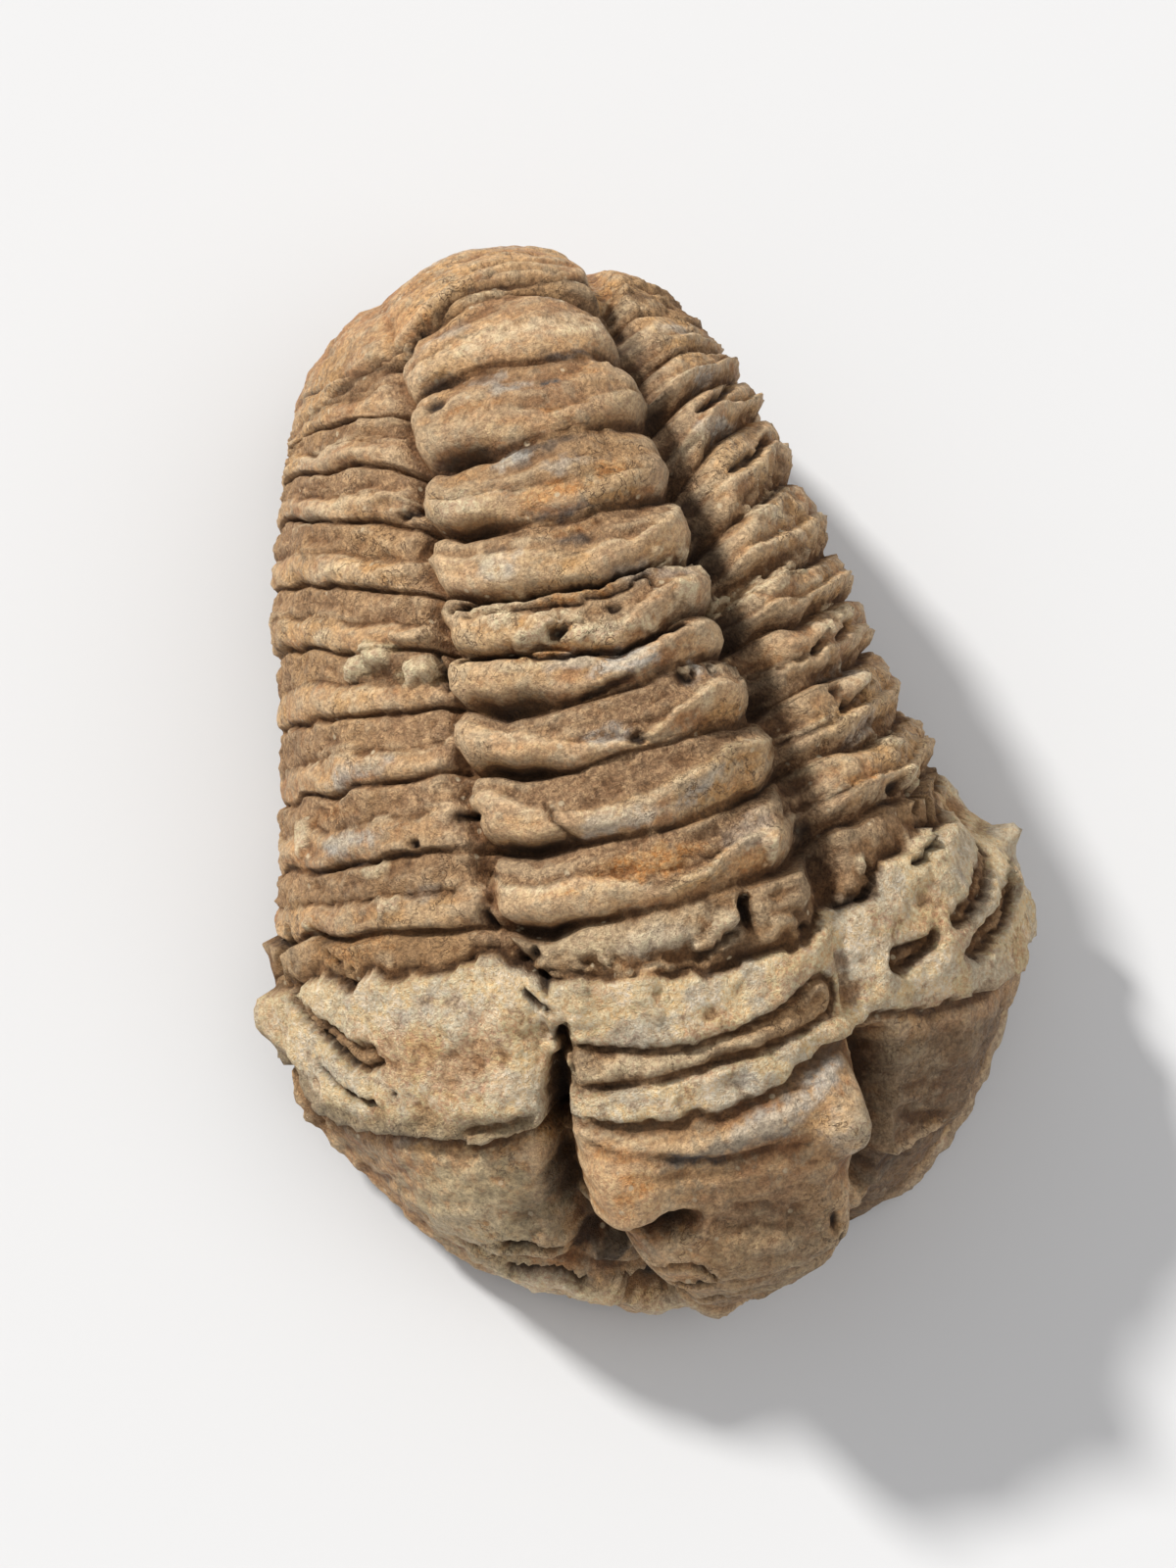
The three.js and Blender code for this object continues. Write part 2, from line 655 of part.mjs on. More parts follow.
// The finished place of the point where the row at `line` meets column q.
function skinPoint(line, q) {
  const onBack = clamp(q, -1, 1);
  const margin = q > 2 ? -1 : onBack;
  let s = line;
  let t = 0;
  for (let pass = 0; pass < 3; pass += 1) {
    t = acrossAt(uAt(s), margin);
    s = line + sweep(line, t);
  }
  const u = uAt(s);
  const fromMargin = Math.abs(acrossAt(u, Math.sign(margin) || 1)) - Math.abs(t);
  const underside = q <= 1 ? 1 : smooth(1 - Math.min(q - 1, 3 - q) / UNDER_MARGIN);
  const height = relief(line, s, t, fromMargin) * underside;
  const point = bodyPoint(u, q).addScaledVector(bodyNormal(u, q), height);
  point.z = Math.max(point.z, 0);
  return point;
}

function fossilGeometry() {
  const rows = rowPlaces();
  const columns = columnPlaces();
  const points = [bodyPoint(0, 0)];
  for (const line of rows) for (const q of columns) points.push(skinPoint(line, q));
  points.push(bodyPoint(1, 0));

  const triangles = [];
  const at = (row, column) => 1 + row * columns.length + (column % columns.length);
  const tail = points.length - 1;
  for (let column = 0; column < columns.length; column += 1) {
    triangles.push(0, at(0, column + 1), at(0, column));
    triangles.push(tail, at(rows.length - 1, column), at(rows.length - 1, column + 1));
  }
  for (let row = 0; row + 1 < rows.length; row += 1) {
    for (let column = 0; column < columns.length; column += 1) {
      const corner = at(row, column);
      const across = at(row, column + 1);
      const opposite = at(row + 1, column + 1);
      const behind = at(row + 1, column);
      // each cell is cut along its shorter diagonal, which follows slanting grooves better
      const alongCut = points[corner].distanceTo(points[opposite]);
      const crossCut = points[across].distanceTo(points[behind]);
      if (alongCut < crossCut) {
        triangles.push(corner, across, opposite, corner, opposite, behind);
      } else {
        triangles.push(corner, across, behind, across, opposite, behind);
      }
    }
  }

  const geometry = new THREE.BufferGeometry().setFromPoints(points);
  geometry.setIndex(triangles);
  geometry.computeBoundingBox();
  const centre = geometry.boundingBox.getCenter(new THREE.Vector3());
  geometry.translate(-centre.x, -centre.y, -geometry.boundingBox.min.z);
  geometry.computeVertexNormals();
  return geometry;
}

// ---------------------------------------------------------------- the part

const brownLimestone = new THREE.MeshStandardMaterial({
  color: "#8b7355",
  roughness: 0.85,
  metalness: 0,
});

const fossil = new THREE.Mesh(fossilGeometry(), brownLimestone);
fossil.name = "trilobite_fossil";

const part = new THREE.Group();
part.name = "fossil_trilobite";
part.add(fossil);

export default part;
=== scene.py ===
"""Fossil trilobite: one stone, modelled over its plain solid and finished as weathered limestone."""

import math

import bmesh
import bpy
import numpy as np
from mathutils import Matrix, Vector


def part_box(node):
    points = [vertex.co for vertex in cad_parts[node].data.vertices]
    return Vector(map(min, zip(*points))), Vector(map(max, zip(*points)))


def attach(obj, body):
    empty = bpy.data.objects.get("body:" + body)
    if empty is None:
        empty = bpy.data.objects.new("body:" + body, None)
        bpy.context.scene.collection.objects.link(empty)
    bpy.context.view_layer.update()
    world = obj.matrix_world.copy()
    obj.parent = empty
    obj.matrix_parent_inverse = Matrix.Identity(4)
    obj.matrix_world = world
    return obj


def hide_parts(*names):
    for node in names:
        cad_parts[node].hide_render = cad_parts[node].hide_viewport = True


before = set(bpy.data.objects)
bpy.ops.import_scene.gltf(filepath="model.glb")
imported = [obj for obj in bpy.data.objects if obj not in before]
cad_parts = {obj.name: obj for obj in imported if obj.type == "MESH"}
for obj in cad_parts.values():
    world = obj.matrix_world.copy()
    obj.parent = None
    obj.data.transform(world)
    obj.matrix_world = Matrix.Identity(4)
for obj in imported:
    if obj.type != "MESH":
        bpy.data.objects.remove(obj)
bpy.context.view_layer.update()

MM = 0.001
NODE = "trilobite_fossil"

# ---------------------------------------------------------------- the body's form, in millimetres

# Cross-sections from snout to tucked-in tail: crest (y, z), then the margin on the -X side
# (x, y, z) and the margin on the +X side (x, y, z).
STATIONS = np.array([
    [-37.5, 3.0, 0.0, -37.5, 3.0, 0.0, -37.5, 3.0],
    [-38.5, 9.5, -9.5, -36.3, 2.0, 9.5, -36.5, 2.0],
    [-35.5, 17.0, -16.2, -31.8, 2.0, 17.2, -31.0, 2.0],
    [-29.0, 22.5, -22.3, -24.6, 3.0, 24.2, -24.0, 3.0],
    [-21.0, 26.5, -27.0, -17.0, 4.0, 29.3, -13.0, 4.0],
    [-12.0, 29.5, -27.7, -6.0, 5.0, 26.4, -4.0, 5.0],
    [-2.0, 31.5, -25.7, 4.0, 5.0, 23.4, 5.0, 5.0],
    [8.0, 32.5, -23.3, 13.0, 5.0, 22.1, 13.0, 5.0],
    [18.0, 32.0, -22.0, 22.0, 5.0, 20.0, 22.0, 5.0],
    [28.0, 29.5, -19.3, 30.5, 5.0, 17.3, 30.5, 5.0],
    [36.0, 24.0, -15.9, 37.0, 5.0, 14.2, 37.0, 5.0],
    [40.0, 14.0, -12.0, 39.0, 4.0, 11.0, 39.0, 4.0],
    [38.0, 3.0, 0.0, 38.0, 3.0, 0.0, 38.0, 3.0],
])
SHOULDER_WIDTH = 0.85
SHOULDER_HEIGHT = 0.9
BELLY_ROLL = 5.5
BELLY_EDGE = 0.28
BELLY_FADE = 0.07

# The grooves beside the middle lobe: s along the crest, then t across on each side.
AXIS_GROOVES = np.array([
    [0, -1.5, 6.0], [6, -3.0, 8.2], [10, -4.8, 9.6], [14, -6.4, 10.6], [17, -8.0, 11.4],
    [20, -9.6, 12.4], [23, -9.9, 12.8], [26, -9.8, 12.3], [28, -9.7, 11.2], [36, -9.6, 11.0],
    [40, -11.3, 11.9], [45, -12.0, 12.1], [50, -12.0, 11.9], [55, -12.0, 11.2], [60, -11.6, 10.1],
    [65, -11.2, 9.5], [70, -10.9, 9.2], [75, -10.7, 8.5], [80, -10.4, 8.0], [85, -9.9, 7.2],
    [90, -10.0, 6.8], [96, -9.6, 6.4], [105, -6.5, 4.8], [116, -2.0, 2.0],
])

# Along the same s: height of the middle lobe, how square its arch is, then depth and width of
# the groove on the -X side and of the one on the +X side.
AXIS_RELIEF = np.array([
    [0, 0.2, 0.5, 0.2, 1.6, 0.2, 1.6],
    [8, 0.9, 0.4, 1.6, 1.6, 1.2, 1.6],
    [13, 2.6, 0.4, 2.6, 1.8, 2.4, 1.8],
    [18, 3.8, 0.45, 2.8, 1.8, 3.2, 2.0],
    [23, 3.6, 0.5, 2.2, 1.4, 3.4, 2.0],
    [26, 3.0, 0.5, 1.2, 1.0, 2.4, 1.7],
    [29, 2.4, 0.5, 0.4, 1.2, 0.2, 1.4],
    [36, 2.0, 0.5, 0.4, 1.2, 0.4, 1.4],
    [40, 2.4, 0.4, 1.0, 0.8, 2.6, 1.8],
    [60, 2.9, 0.4, 1.1, 0.8, 3.0, 1.8],
    [80, 2.7, 0.42, 1.1, 0.8, 2.6, 1.5],
    [86, 2.3, 0.6, 0.5, 1.2, 2.2, 1.5],
    [90, 2.2, 1.0, 0.0, 1.6, 1.8, 1.5],
    [97, 1.8, 1.1, 0.0, 1.8, 1.2, 1.5],
    [105, 0.8, 0.5, 0.2, 2.0, 0.2, 2.0],
    [116, 0.0, 0.5, 0.0, 2.0, 0.0, 2.0],
])

# The furrow in front of each body ring: s on the crest line, then how far it sweeps towards the
# tail at each of the distances in SWEEP_ACROSS.
SWEEP_ACROSS = np.array([-42, -30, -20, -13, -8, 0, 8, 13, 20, 30, 42])
FURROWS = np.array([
    [39.8, 3.2, 2.8, 1.9, 1.5, -0.4, 0, 1.0, 2.7, 3.7, 4.5, 5.0],
    [45.4, 2.6, 2.3, 1.7, 1.0, -0.4, 0, 0.8, 2.0, 3.0, 4.0, 4.4],
    [50.8, 2.8, 2.4, 1.7, 1.3, -0.5, 0, 0.6, 1.8, 3.2, 4.4, 5.0],
    [55.2, 5.0, 4.2, 2.4, 2.0, -0.4, 0, 0.9, 2.5, 4.0, 5.2, 6.0],
    [57.9, 8.4, 7.3, 4.7, 3.1, 1.3, 0, 1.6, 3.7, 5.0, 6.6, 7.6],
    [62.4, 10.0, 8.6, 5.2, 2.8, 0.6, 0, 1.8, 4.6, 7.1, 8.6, 9.6],
    [67.2, 11.4, 10.1, 6.4, 3.4, 0.5, 0, 2.3, 5.8, 8.5, 9.8, 10.6],
    [73.3, 9.2, 8.2, 5.1, 2.6, 0.4, 0, 1.7, 4.4, 6.4, 8.0, 8.8],
    [79.9, 6.2, 5.1, 3.3, 0.8, 0.3, 0, 0.6, 1.9, 3.1, 4.5, 5.4],
    [87.0, 2.6, 2.0, 0.5, -1.0, -0.6, 0, -0.8, -1.4, -1.4, -0.4, 0.4],
])
HEAD_END = 34
TAIL_START = 97

# Height from one furrow to the next, of a ring on the middle lobe and of a rib beside it: how
# far on from the furrow, then the height on the -X side and on the +X side. At LEDGE the bright
# shell of a ring ends in a torn edge, and grainy rock begins.
LEDGE = 0.5
RING_PROFILE = np.array([
    [0, -0.95, -1.1], [0.03, -0.9, -1.1], [0.07, -0.25, -0.9], [0.14, 0.25, -0.5],
    [0.25, 0.5, 0.0], [0.35, 0.55, 0.45], [0.42, 0.5, 0.7], [0.46, 0.45, 0.75], [0.53, 0.0, -0.1],
    [0.6, -0.05, -0.15], [0.8, -0.08, -0.15], [0.93, -0.2, -0.3], [0.97, -0.6, -0.7],
    [1, -0.95, -1.1],
])
RIB_PROFILE = np.array([
    [0, -0.7, -1.0], [0.03, -0.6, -0.95], [0.06, -0.1, -0.85], [0.12, 0.2, -0.6], [0.2, 0.32, -0.2],
    [0.3, 0.3, 0.2], [0.4, 0.2, 0.55], [0.46, 0.05, 0.7], [0.53, -0.2, 0.05],
    [0.57, 0.1, 0.12], [0.62, 0.0, 0.3], [0.78, -0.02, 0.3], [0.9, -0.05, 0.15],
    [0.95, -0.15, -0.15], [0.98, -0.5, -0.6], [1, -0.7, -1.0],
])

# Where on each ring the torn edge runs, at each of the distances across in LEDGE_ACROSS.
LEDGE_ACROSS = np.array([-11, -8, -5, -2, 0, 3, 6, 9])
LEDGE_AT = np.array([
    [0.66, 0.72, 0.62, 0.38, 0.34, 0.40, 0.55, 0.58],
    [0.70, 0.70, 0.52, 0.40, 0.40, 0.60, 0.82, 0.76],
    [0.78, 0.78, 0.60, 0.28, 0.16, 0.50, 0.62, 0.52],
    [0.80, 0.82, 0.84, 0.84, 0.84, 0.86, 0.84, 0.80],
    [0.77, 0.77, 0.60, 0.40, 0.36, 0.50, 0.60, 0.60],
    [0.62, 0.62, 0.62, 0.50, 0.45, 0.50, 0.72, 0.80],
    [0.55, 0.55, 0.50, 0.42, 0.40, 0.36, 0.42, 0.50],
    [0.37, 0.37, 0.36, 0.34, 0.30, 0.36, 0.42, 0.40],
    [0.45, 0.45, 0.45, 0.45, 0.45, 0.42, 0.40, 0.40],
])

# How much of the shell is still there behind each ring's torn edge.
SHELL_BEHIND = np.array([0, 0, 0, 0.5, 0.2, 0.35, 0.6, 0.7, 0.7])

# How much narrower a ring gets towards its furrows, on the -X side and on the +X side, and how
# suddenly; then how far apart in the noise one ring lies from the next.
RING_ENDS = (0.12, 0.4)
RING_ROUNDNESS = 2.5
RING_APART = 3.1

# Dark pockets under the rings' front edges: the furrow, t at the middle, half-length, depth.
POCKETS = [
    (73.3, -6.8, 2.3, 1.5), (67.2, -7.4, 2.0, 1.5), (55.2, -7.4, 2.6, 1.7),
    (50.8, -7.9, 2.4, 1.9), (45.4, -8.2, 2.8, 1.9), (39.8, -8.4, 2.2, 1.7), (79.9, -7.5, 1.4, 0.7),
]

# The broken sheet of stone over the back of the head: t across, then s of its edge.
SHEET_REAR = np.array([
    [-38, 39.0], [-33.5, 39.6], [-32, 38.9], [-29, 39.9], [-26.5, 39.6], [-24.5, 38.6], [-23, 39.6],
    [-20, 38.7], [-17, 38.4], [-15, 38.8], [-12.5, 39.2], [-11, 38.0], [-9.5, 36.6], [-7, 36.4],
    [-3, 36.0], [-1, 35.5], [0.5, 35.2], [2, 34.9], [3.4, 35.2], [5.2, 35.4], [7, 35.1],
    [8.3, 35.5], [10, 36.0], [11.5, 37.6], [13, 37.9], [14.5, 37.0], [16, 37.8], [17.4, 39.3],
    [20, 39.8], [22, 40.7], [24, 40.4], [28, 41.4], [31, 41.8], [35, 43.0],
])
SHEET_FRONT = np.array([
    [-38, 35.2], [-34, 33.4], [-31, 30.6], [-29, 29.6], [-27, 28.9], [-24, 28.3], [-20, 27.6],
    [-17, 27.0], [-14.5, 26.7], [-12, 26.7], [-10, 26.7], [-9, 27.2], [-6, 26.6], [-3, 26.2],
    [0, 26.2], [3, 26.6], [5, 27.1], [7, 27.7], [9, 28.5], [10.5, 28.4], [12.5, 29.2],
    [14, 29.4], [16, 29.0], [18, 28.6], [20, 28.5], [24, 28.6], [29, 29.0], [35, 30.5],
])
SHEET_HEIGHT = 0.8
SHEET_LIP = 0.34

# The front edge of the tail shield, which laps over the last rings: t across, then s. Below it,
# how much the shield stands up across the body.
SHIELD_FRONT = np.array([
    [-42, 87.0], [-24, 85.6], [-16, 85.4], [-11, 86.2], [-9.5, 85.5], [-8, 86.6], [-5.4, 87.9],
    [-3.8, 88.5], [0, 88.7], [3, 88.6], [7.2, 88.3], [9.2, 91.5], [13, 93.5], [42, 94.5],
])
SHIELD_HEIGHT = np.array([[-42, 0.1], [-20, 0.3], [-12, 0.8], [5.5, 0.6], [8.5, 0.2], [42, 0.0]])

# Windows broken through the sheet, each an outline of (s, t), with its depth and how much its
# floor swells back up in the middle.
WINDOWS = [
    (0.95, 0.8, [(32.4, -8.4), (31.7, -6), (31.1, -3), (30.9, 0), (31.2, 3), (31.7, 5), (32.6, 7),
                 (33.4, 8.6), (33.4, 9.5), (32.4, 10.5), (31.2, 10.4), (30.2, 9.7), (29.8, 8),
                 (29.5, 6.0), (29.0, 3.5), (28.8, 1), (28.7, -2), (28.7, -5), (28.8, -8.9)]),
    (1.2, 0.8, [(33.9, 19.6), (33.2, 20.0), (32.2, 18.2), (31.6, 15.8), (32.3, 14.8), (33.4, 15.4),
                (33.6, 17.5)]),
    (1.1, 0.6, [(38.6, 30.2), (38.0, 28.6), (36.5, 25.9), (35.2, 23.4), (34.5, 21.2), (33.6, 21.4),
                (33.5, 22.9), (34.4, 25.8), (35.7, 28.3), (37.3, 30.3)]),
    (1.3, 0.5, [(36.0, 32.4), (35.0, 30.6), (33.5, 27.0), (32.4, 23.9), (31.6, 22.2), (30.9, 23.2),
                (31.5, 26.2), (32.3, 29.0), (33.8, 31.6)]),
    (1.1, 0.8, [(39.6, -32.6), (38.8, -30.8), (37.4, -28.4), (36.0, -25.6), (34.6, -22.9),
                (33.3, -22.2), (33.0, -24.2), (34.8, -27.2), (36.8, -30.4), (38.4, -32.8)]),
    (1.6, 0.0, [(43.8, -35.6), (43.4, -34.4), (41.0, -34.6), (40.0, -35.4), (40.0, -38.5),
                (42.0, -37.4)]),
]

# Deep hollows with sloping walls: depth, how wide the slope is, then the outline as (s, t).
HOLLOWS = [
    (3.6, 0.6, [(33.8, -8.7), (33.6, -8.0), (31.6, -8.1), (31.0, -8.6), (28.8, -9.0), (27.2, -9.2),
                (25.3, -9.4), (24.9, -11.0), (26.0, -12.1), (26.9, -11.4), (28.4, -10.9),
                (30.3, -10.4), (31.5, -9.8), (31.7, -9.2)]),
    (3.2, 2.6, [(26.4, -9.6), (24.4, -9.8), (22, -9.9), (19.6, -9.8), (17.8, -8.8), (16.4, -7.2),
                (15.2, -6.2), (13.6, -6.4), (13.4, -9), (14.2, -11.8), (17, -12.4), (20, -12.3),
                (23, -11.9), (25.6, -11.2)]),
    (3.0, 2.0, [(28.4, 11.8), (26.4, 12.4), (24, 13.2), (21, 13.3), (18.6, 12.4), (16, 11.6),
                (14.0, 11.4), (13.4, 12.8), (15.5, 14.4), (19, 14.8), (23, 15.2), (26, 15.2),
                (28.4, 14.2)]),
    (0.9, 0.8, [(27.5, -18.4), (27.9, -16.4), (28.0, -14.4), (28.2, -12.8), (28.0, -11.6),
                (27.1, -11.8), (27.0, -13.4), (27.0, -15.6), (27.2, -17.4)]),
    (2.6, 1.0, [(10.5, -7.4), (8.8, -5.4), (7.5, -3.8), (6.0, -3.0), (5.2, -4.0), (6.0, -5.8),
                (8.0, -7.6), (9.6, -8.2)]),
]

# Cracks and sharp grooves: width, depth, then the path as (s, t).
CRACKS = [
    (0.15, 0.6, [(28.9, -9.0), (28.7, -6.5), (28.7, -4.4)]),
    (0.2, 0.45, [(32.3, -8.4), (31.6, -6), (31.0, -3), (30.8, 0), (31.1, 3), (31.7, 5)]),
    (0.25, 1.2, [(38.9, -33), (36.9, -30.4), (34.9, -27.4), (33.4, -25.2)]),
    (0.25, 1.0, [(34.6, -30.3), (32.4, -27.3), (30.4, -23.4)]),
    (0.3, 0.9, [(39.4, -25.6), (38.6, -24)]),
    (0.18, 0.6, [(42.3, -28.7), (41, -26.6), (39.7, -24)]),
    (0.6, 0.35, [(26.6, -8.0), (25.8, -5), (25.4, -2), (25.4, 0), (25.8, 3), (26.3, 5), (27.0, 7),
                (27.8, 8.6), (28.2, 9.6)]),
    (0.35, 0.4, [(25.4, -8.6), (24.3, -5), (23.2, -1), (22.9, 1), (23.0, 4)]),
    (0.3, 1.1, [(42.6, -12.6), (40.7, -12.1)]),
    (0.2, 1.1, [(63.2, -10.3), (62.9, -7.5), (62.6, -5), (62.4, -2.5), (62.4, -0.2), (63, 2.8),
                (63.9, 5.2)]),
    (0.18, 0.8, [(62.3, -9.3), (62, -7), (61.5, -3.4), (61.5, -0.8), (61.6, 1.2), (62.6, 3.2)]),
    (0.2, 0.9, [(59.5, -10.5), (59, -6.5), (58.2, -4.8), (57.8, 0.3), (58.3, 2.8), (58.7, 5.3)]),
    (0.2, 0.6, [(63, 2.8), (62.2, 3.2), (61.4, 3.4)]),
    (0.22, 0.8, [(55.1, -3.3), (55.5, -1.2), (56, 1)]),
    (0.16, 0.6, [(48.8, -6.6), (47.6, -6.3), (46.4, -5.8), (45.7, -5.0), (45.2, -4.8)]),
    (0.4, 1.3, [(17.7, -17.2), (16.9, -14.4), (15.4, -12.2)]),
    (0.35, 1.2, [(15.3, -18.0), (14.2, -14.6), (12.6, -12.0), (11.6, -10.6)]),
    (0.18, 0.6, [(15.3, -5.4), (15.6, -3.7), (15.3, -1.9), (13.9, -1.1)]),
    (0.25, 0.7, [(9.6, -2.4), (10.7, -1.1), (9.9, 0.8)]),
    (0.3, 0.8, [(85.1, -10.4), (85.6, -9.0), (86.4, -8.0), (87.2, -6.6)]),
    (0.22, 0.5, [(86.2, -6.4), (87.8, -5), (88.6, -3.0), (89.3, -1.5), (89.5, 0.5), (88.8, 3.5)]),
    (0.15, 0.45, [(90.2, -3.0), (90.4, 0), (90.2, 3.2), (89.5, 5.8)]),
    (0.12, 0.35, [(91.8, -2.0), (92.0, 1.0), (91.5, 4.0)]),
    (0.3, 0.9, [(75.6, 11), (76.3, 13), (77.5, 15.2), (78.8, 17.6)]),
    (0.3, 0.9, [(70.4, 12.6), (71.2, 15), (72.2, 17.2), (73.6, 19.6)]),
    (0.25, 1.0, [(55.3, 15.5), (55.9, 16.6), (57.2, 18.2)]),
    (0.25, 1.0, [(56.2, 18.8), (56.9, 20.5), (57.6, 22.2)]),
    (0.25, 1.0, [(50.9, 17.2), (51.7, 19.6), (52.6, 21.8), (53.0, 23.6)]),
    (0.2, 0.8, [(49.4, 20.4), (50.0, 21.6)]),
    (0.25, 1.0, [(42.0, 22.2), (43.4, 23.4), (45.2, 23.8)]),
    (0.3, 1.1, [(38.6, 19.2), (39.5, 21.5), (41.0, 24.4), (43.6, 26.4)]),
    (0.35, 1.3, [(37.3, 12.2), (37.2, 14.4), (37.9, 16.2)]),
    (0.2, 0.6, [(44.7, 12), (45, 14.5), (45.4, 16.6)]),
    (0.2, 0.6, [(49.8, 11.8), (50.1, 14.6), (50.6, 17)]),
    (0.2, 0.6, [(54.9, 11), (55.2, 13.5), (55.6, 15.5)]),
    (0.22, 0.7, [(36.3, 0.7), (36.7, 2), (37.5, 3.6), (38.2, 5)]),
    (0.3, 1.0, [(71.7, -13), (71.6, -10.6)]),
    (0.3, 1.0, [(49, -13.5), (48.8, -11)]),
    (0.3, 1.0, [(57.8, -11.8), (59.6, -12.4), (61.4, -12.8)]),
    (0.3, 0.9, [(38.6, -10.9), (38.0, -9.6)]),
    (0.25, 0.9, [(36.6, -10.9), (35.4, -9.9), (34.8, -8.8)]),
    (0.15, 0.5, [(37.4, -9.8), (37.5, -7.8)]),
    (0.15, 0.4, [(37.6, -6.4), (36.7, -4.4)]),
    (0.25, 0.7, [(23.5, 27.5), (21.0, 25.5), (19.4, 23.4)]),
]

# Thin raised ridges and slivers: width, height, then the path as (s, t).
RIDGES = [
    (0.45, 0.7, [(62.7, -15.8), (62.3, -11.9)]),
    (0.4, 0.6, [(67.9, -15.8), (67.3, -11.6)]),
    (0.4, 0.6, [(73.6, -15.4), (73.4, -11.3)]),
    (0.45, 0.6, [(50.2, -15.5), (49.6, -11.4)]),
    (0.45, 0.5, [(44.9, -15.0), (43.4, -11.8)]),
    (0.4, 0.7, [(17.2, 14.2), (17.6, 16), (18.5, 18.7), (19.2, 20.6)]),
    (0.4, 0.5, [(78.3, 2.4), (79.0, 3.4), (78.6, 4.6)]),
    (0.5, 0.5, [(37.0, 0.9), (37.6, 2.2), (38.5, 3.8), (39.2, 5.6)]),
    (0.6, 0.6, [(36.4, 5.6), (37.4, 7.0), (37.5, 8.4)]),
    (0.3, 0.45, [(36.1, -4.6), (36.4, -3.0), (36.5, -0.8)]),
    (0.5, 0.6, [(42.4, 7.6), (44.0, 8.2)]),
]

# Torn steps that face the tail: height, how far the raised side reaches, the path as (t, s).
STEPS = [
    (0.45, 2.2, [(-9.6, 36.9), (-7, 37.5), (-5, 37.4), (-3, 36.5), (-1, 36.5), (0.5, 36.2)]),
    (0.4, 1.4, [(1, 36.4), (3, 37.3), (5, 38.2), (7, 37.9), (9, 37.4)]),
    (0.35, 1.2, [(-3.2, 60.6), (-1, 60.2), (1, 60.4), (3, 60.4), (5, 60.3)]),
    (0.6, 1.5, [(8.6, 64.2), (10, 64.7), (12, 65.4), (13.4, 66.8), (14.6, 67.7), (17.6, 68.8),
                (20, 69.6)]),
    (0.6, 1.3, [(9.6, 61.2), (10.4, 61.8), (11.6, 60.8), (13, 61.2), (15, 62.4), (17, 63.2),
                (20, 63.9)]),
    (0.45, 1.2, [(17.6, 58.2), (19, 57.6), (20.5, 58.5), (22.5, 59.2)]),
    (0.45, 1.2, [(17.5, 53.0), (19.2, 52.8), (20.6, 53.4), (22.5, 53.8)]),
    (0.4, 1.2, [(20, 47.6), (22, 48.2), (24, 48.6), (26, 48.8)]),
    (0.3, 1.0, [(-26, 66.9), (-22, 66.6), (-18, 65.0)]),
    (0.3, 1.2, [(-28, 56.4), (-24, 56.4), (-20, 55.8)]),
]

# Pits: s, t, half-length along s, half-length along t, depth.
PITS = [
    (18.7, -4.0, 1.0, 2.1, 3.0), (9.2, -3.0, 0.7, 0.5, 0.9),
    (38.6, 5.0, 1.0, 0.5, 1.8), (39.4, 4.9, 0.7, 0.4, 1.0), (39.3, 15.8, 0.5, 0.3, 1.3),
    (59.6, -3.3, 0.35, 0.8, 1.3), (55.3, 4.2, 0.8, 0.8, 0.8), (55.6, 6.3, 0.6, 0.6, 0.9),
    (78.5, -7.7, 0.6, 0.8, 0.6), (36.7, -9.2, 0.8, 0.4, 1.6), (34.4, -35.6, 0.5, 0.5, 1.0),
    (13.5, -2.6, 0.3, 1.5, 0.7), (16.3, 7.2, 1.0, 0.3, 0.5), (14.6, 7.7, 0.8, 0.3, 0.6),
    (85.3, -9.6, 0.6, 0.9, 1.2), (62.6, 8.6, 1.6, 0.5, 1.6), (60.7, 9.4, 0.8, 0.35, 1.4),
    (51.6, 0.2, 0.4, 0.7, 0.9), (38.8, -9.4, 0.5, 0.5, 1.2), (33.0, -9.0, 0.6, 0.3, 1.6),
    (60.6, 0.4, 0.3, 0.6, 0.7), (47.9, -16.8, 0.35, 0.5, 0.8), (36.6, 8.9, 0.4, 0.4, 0.9),
    (52.4, 17.2, 0.3, 0.8, 0.5), (44.6, 21.0, 0.4, 0.8, 0.8), (31.2, -21.8, 0.25, 0.4, 0.5),
]

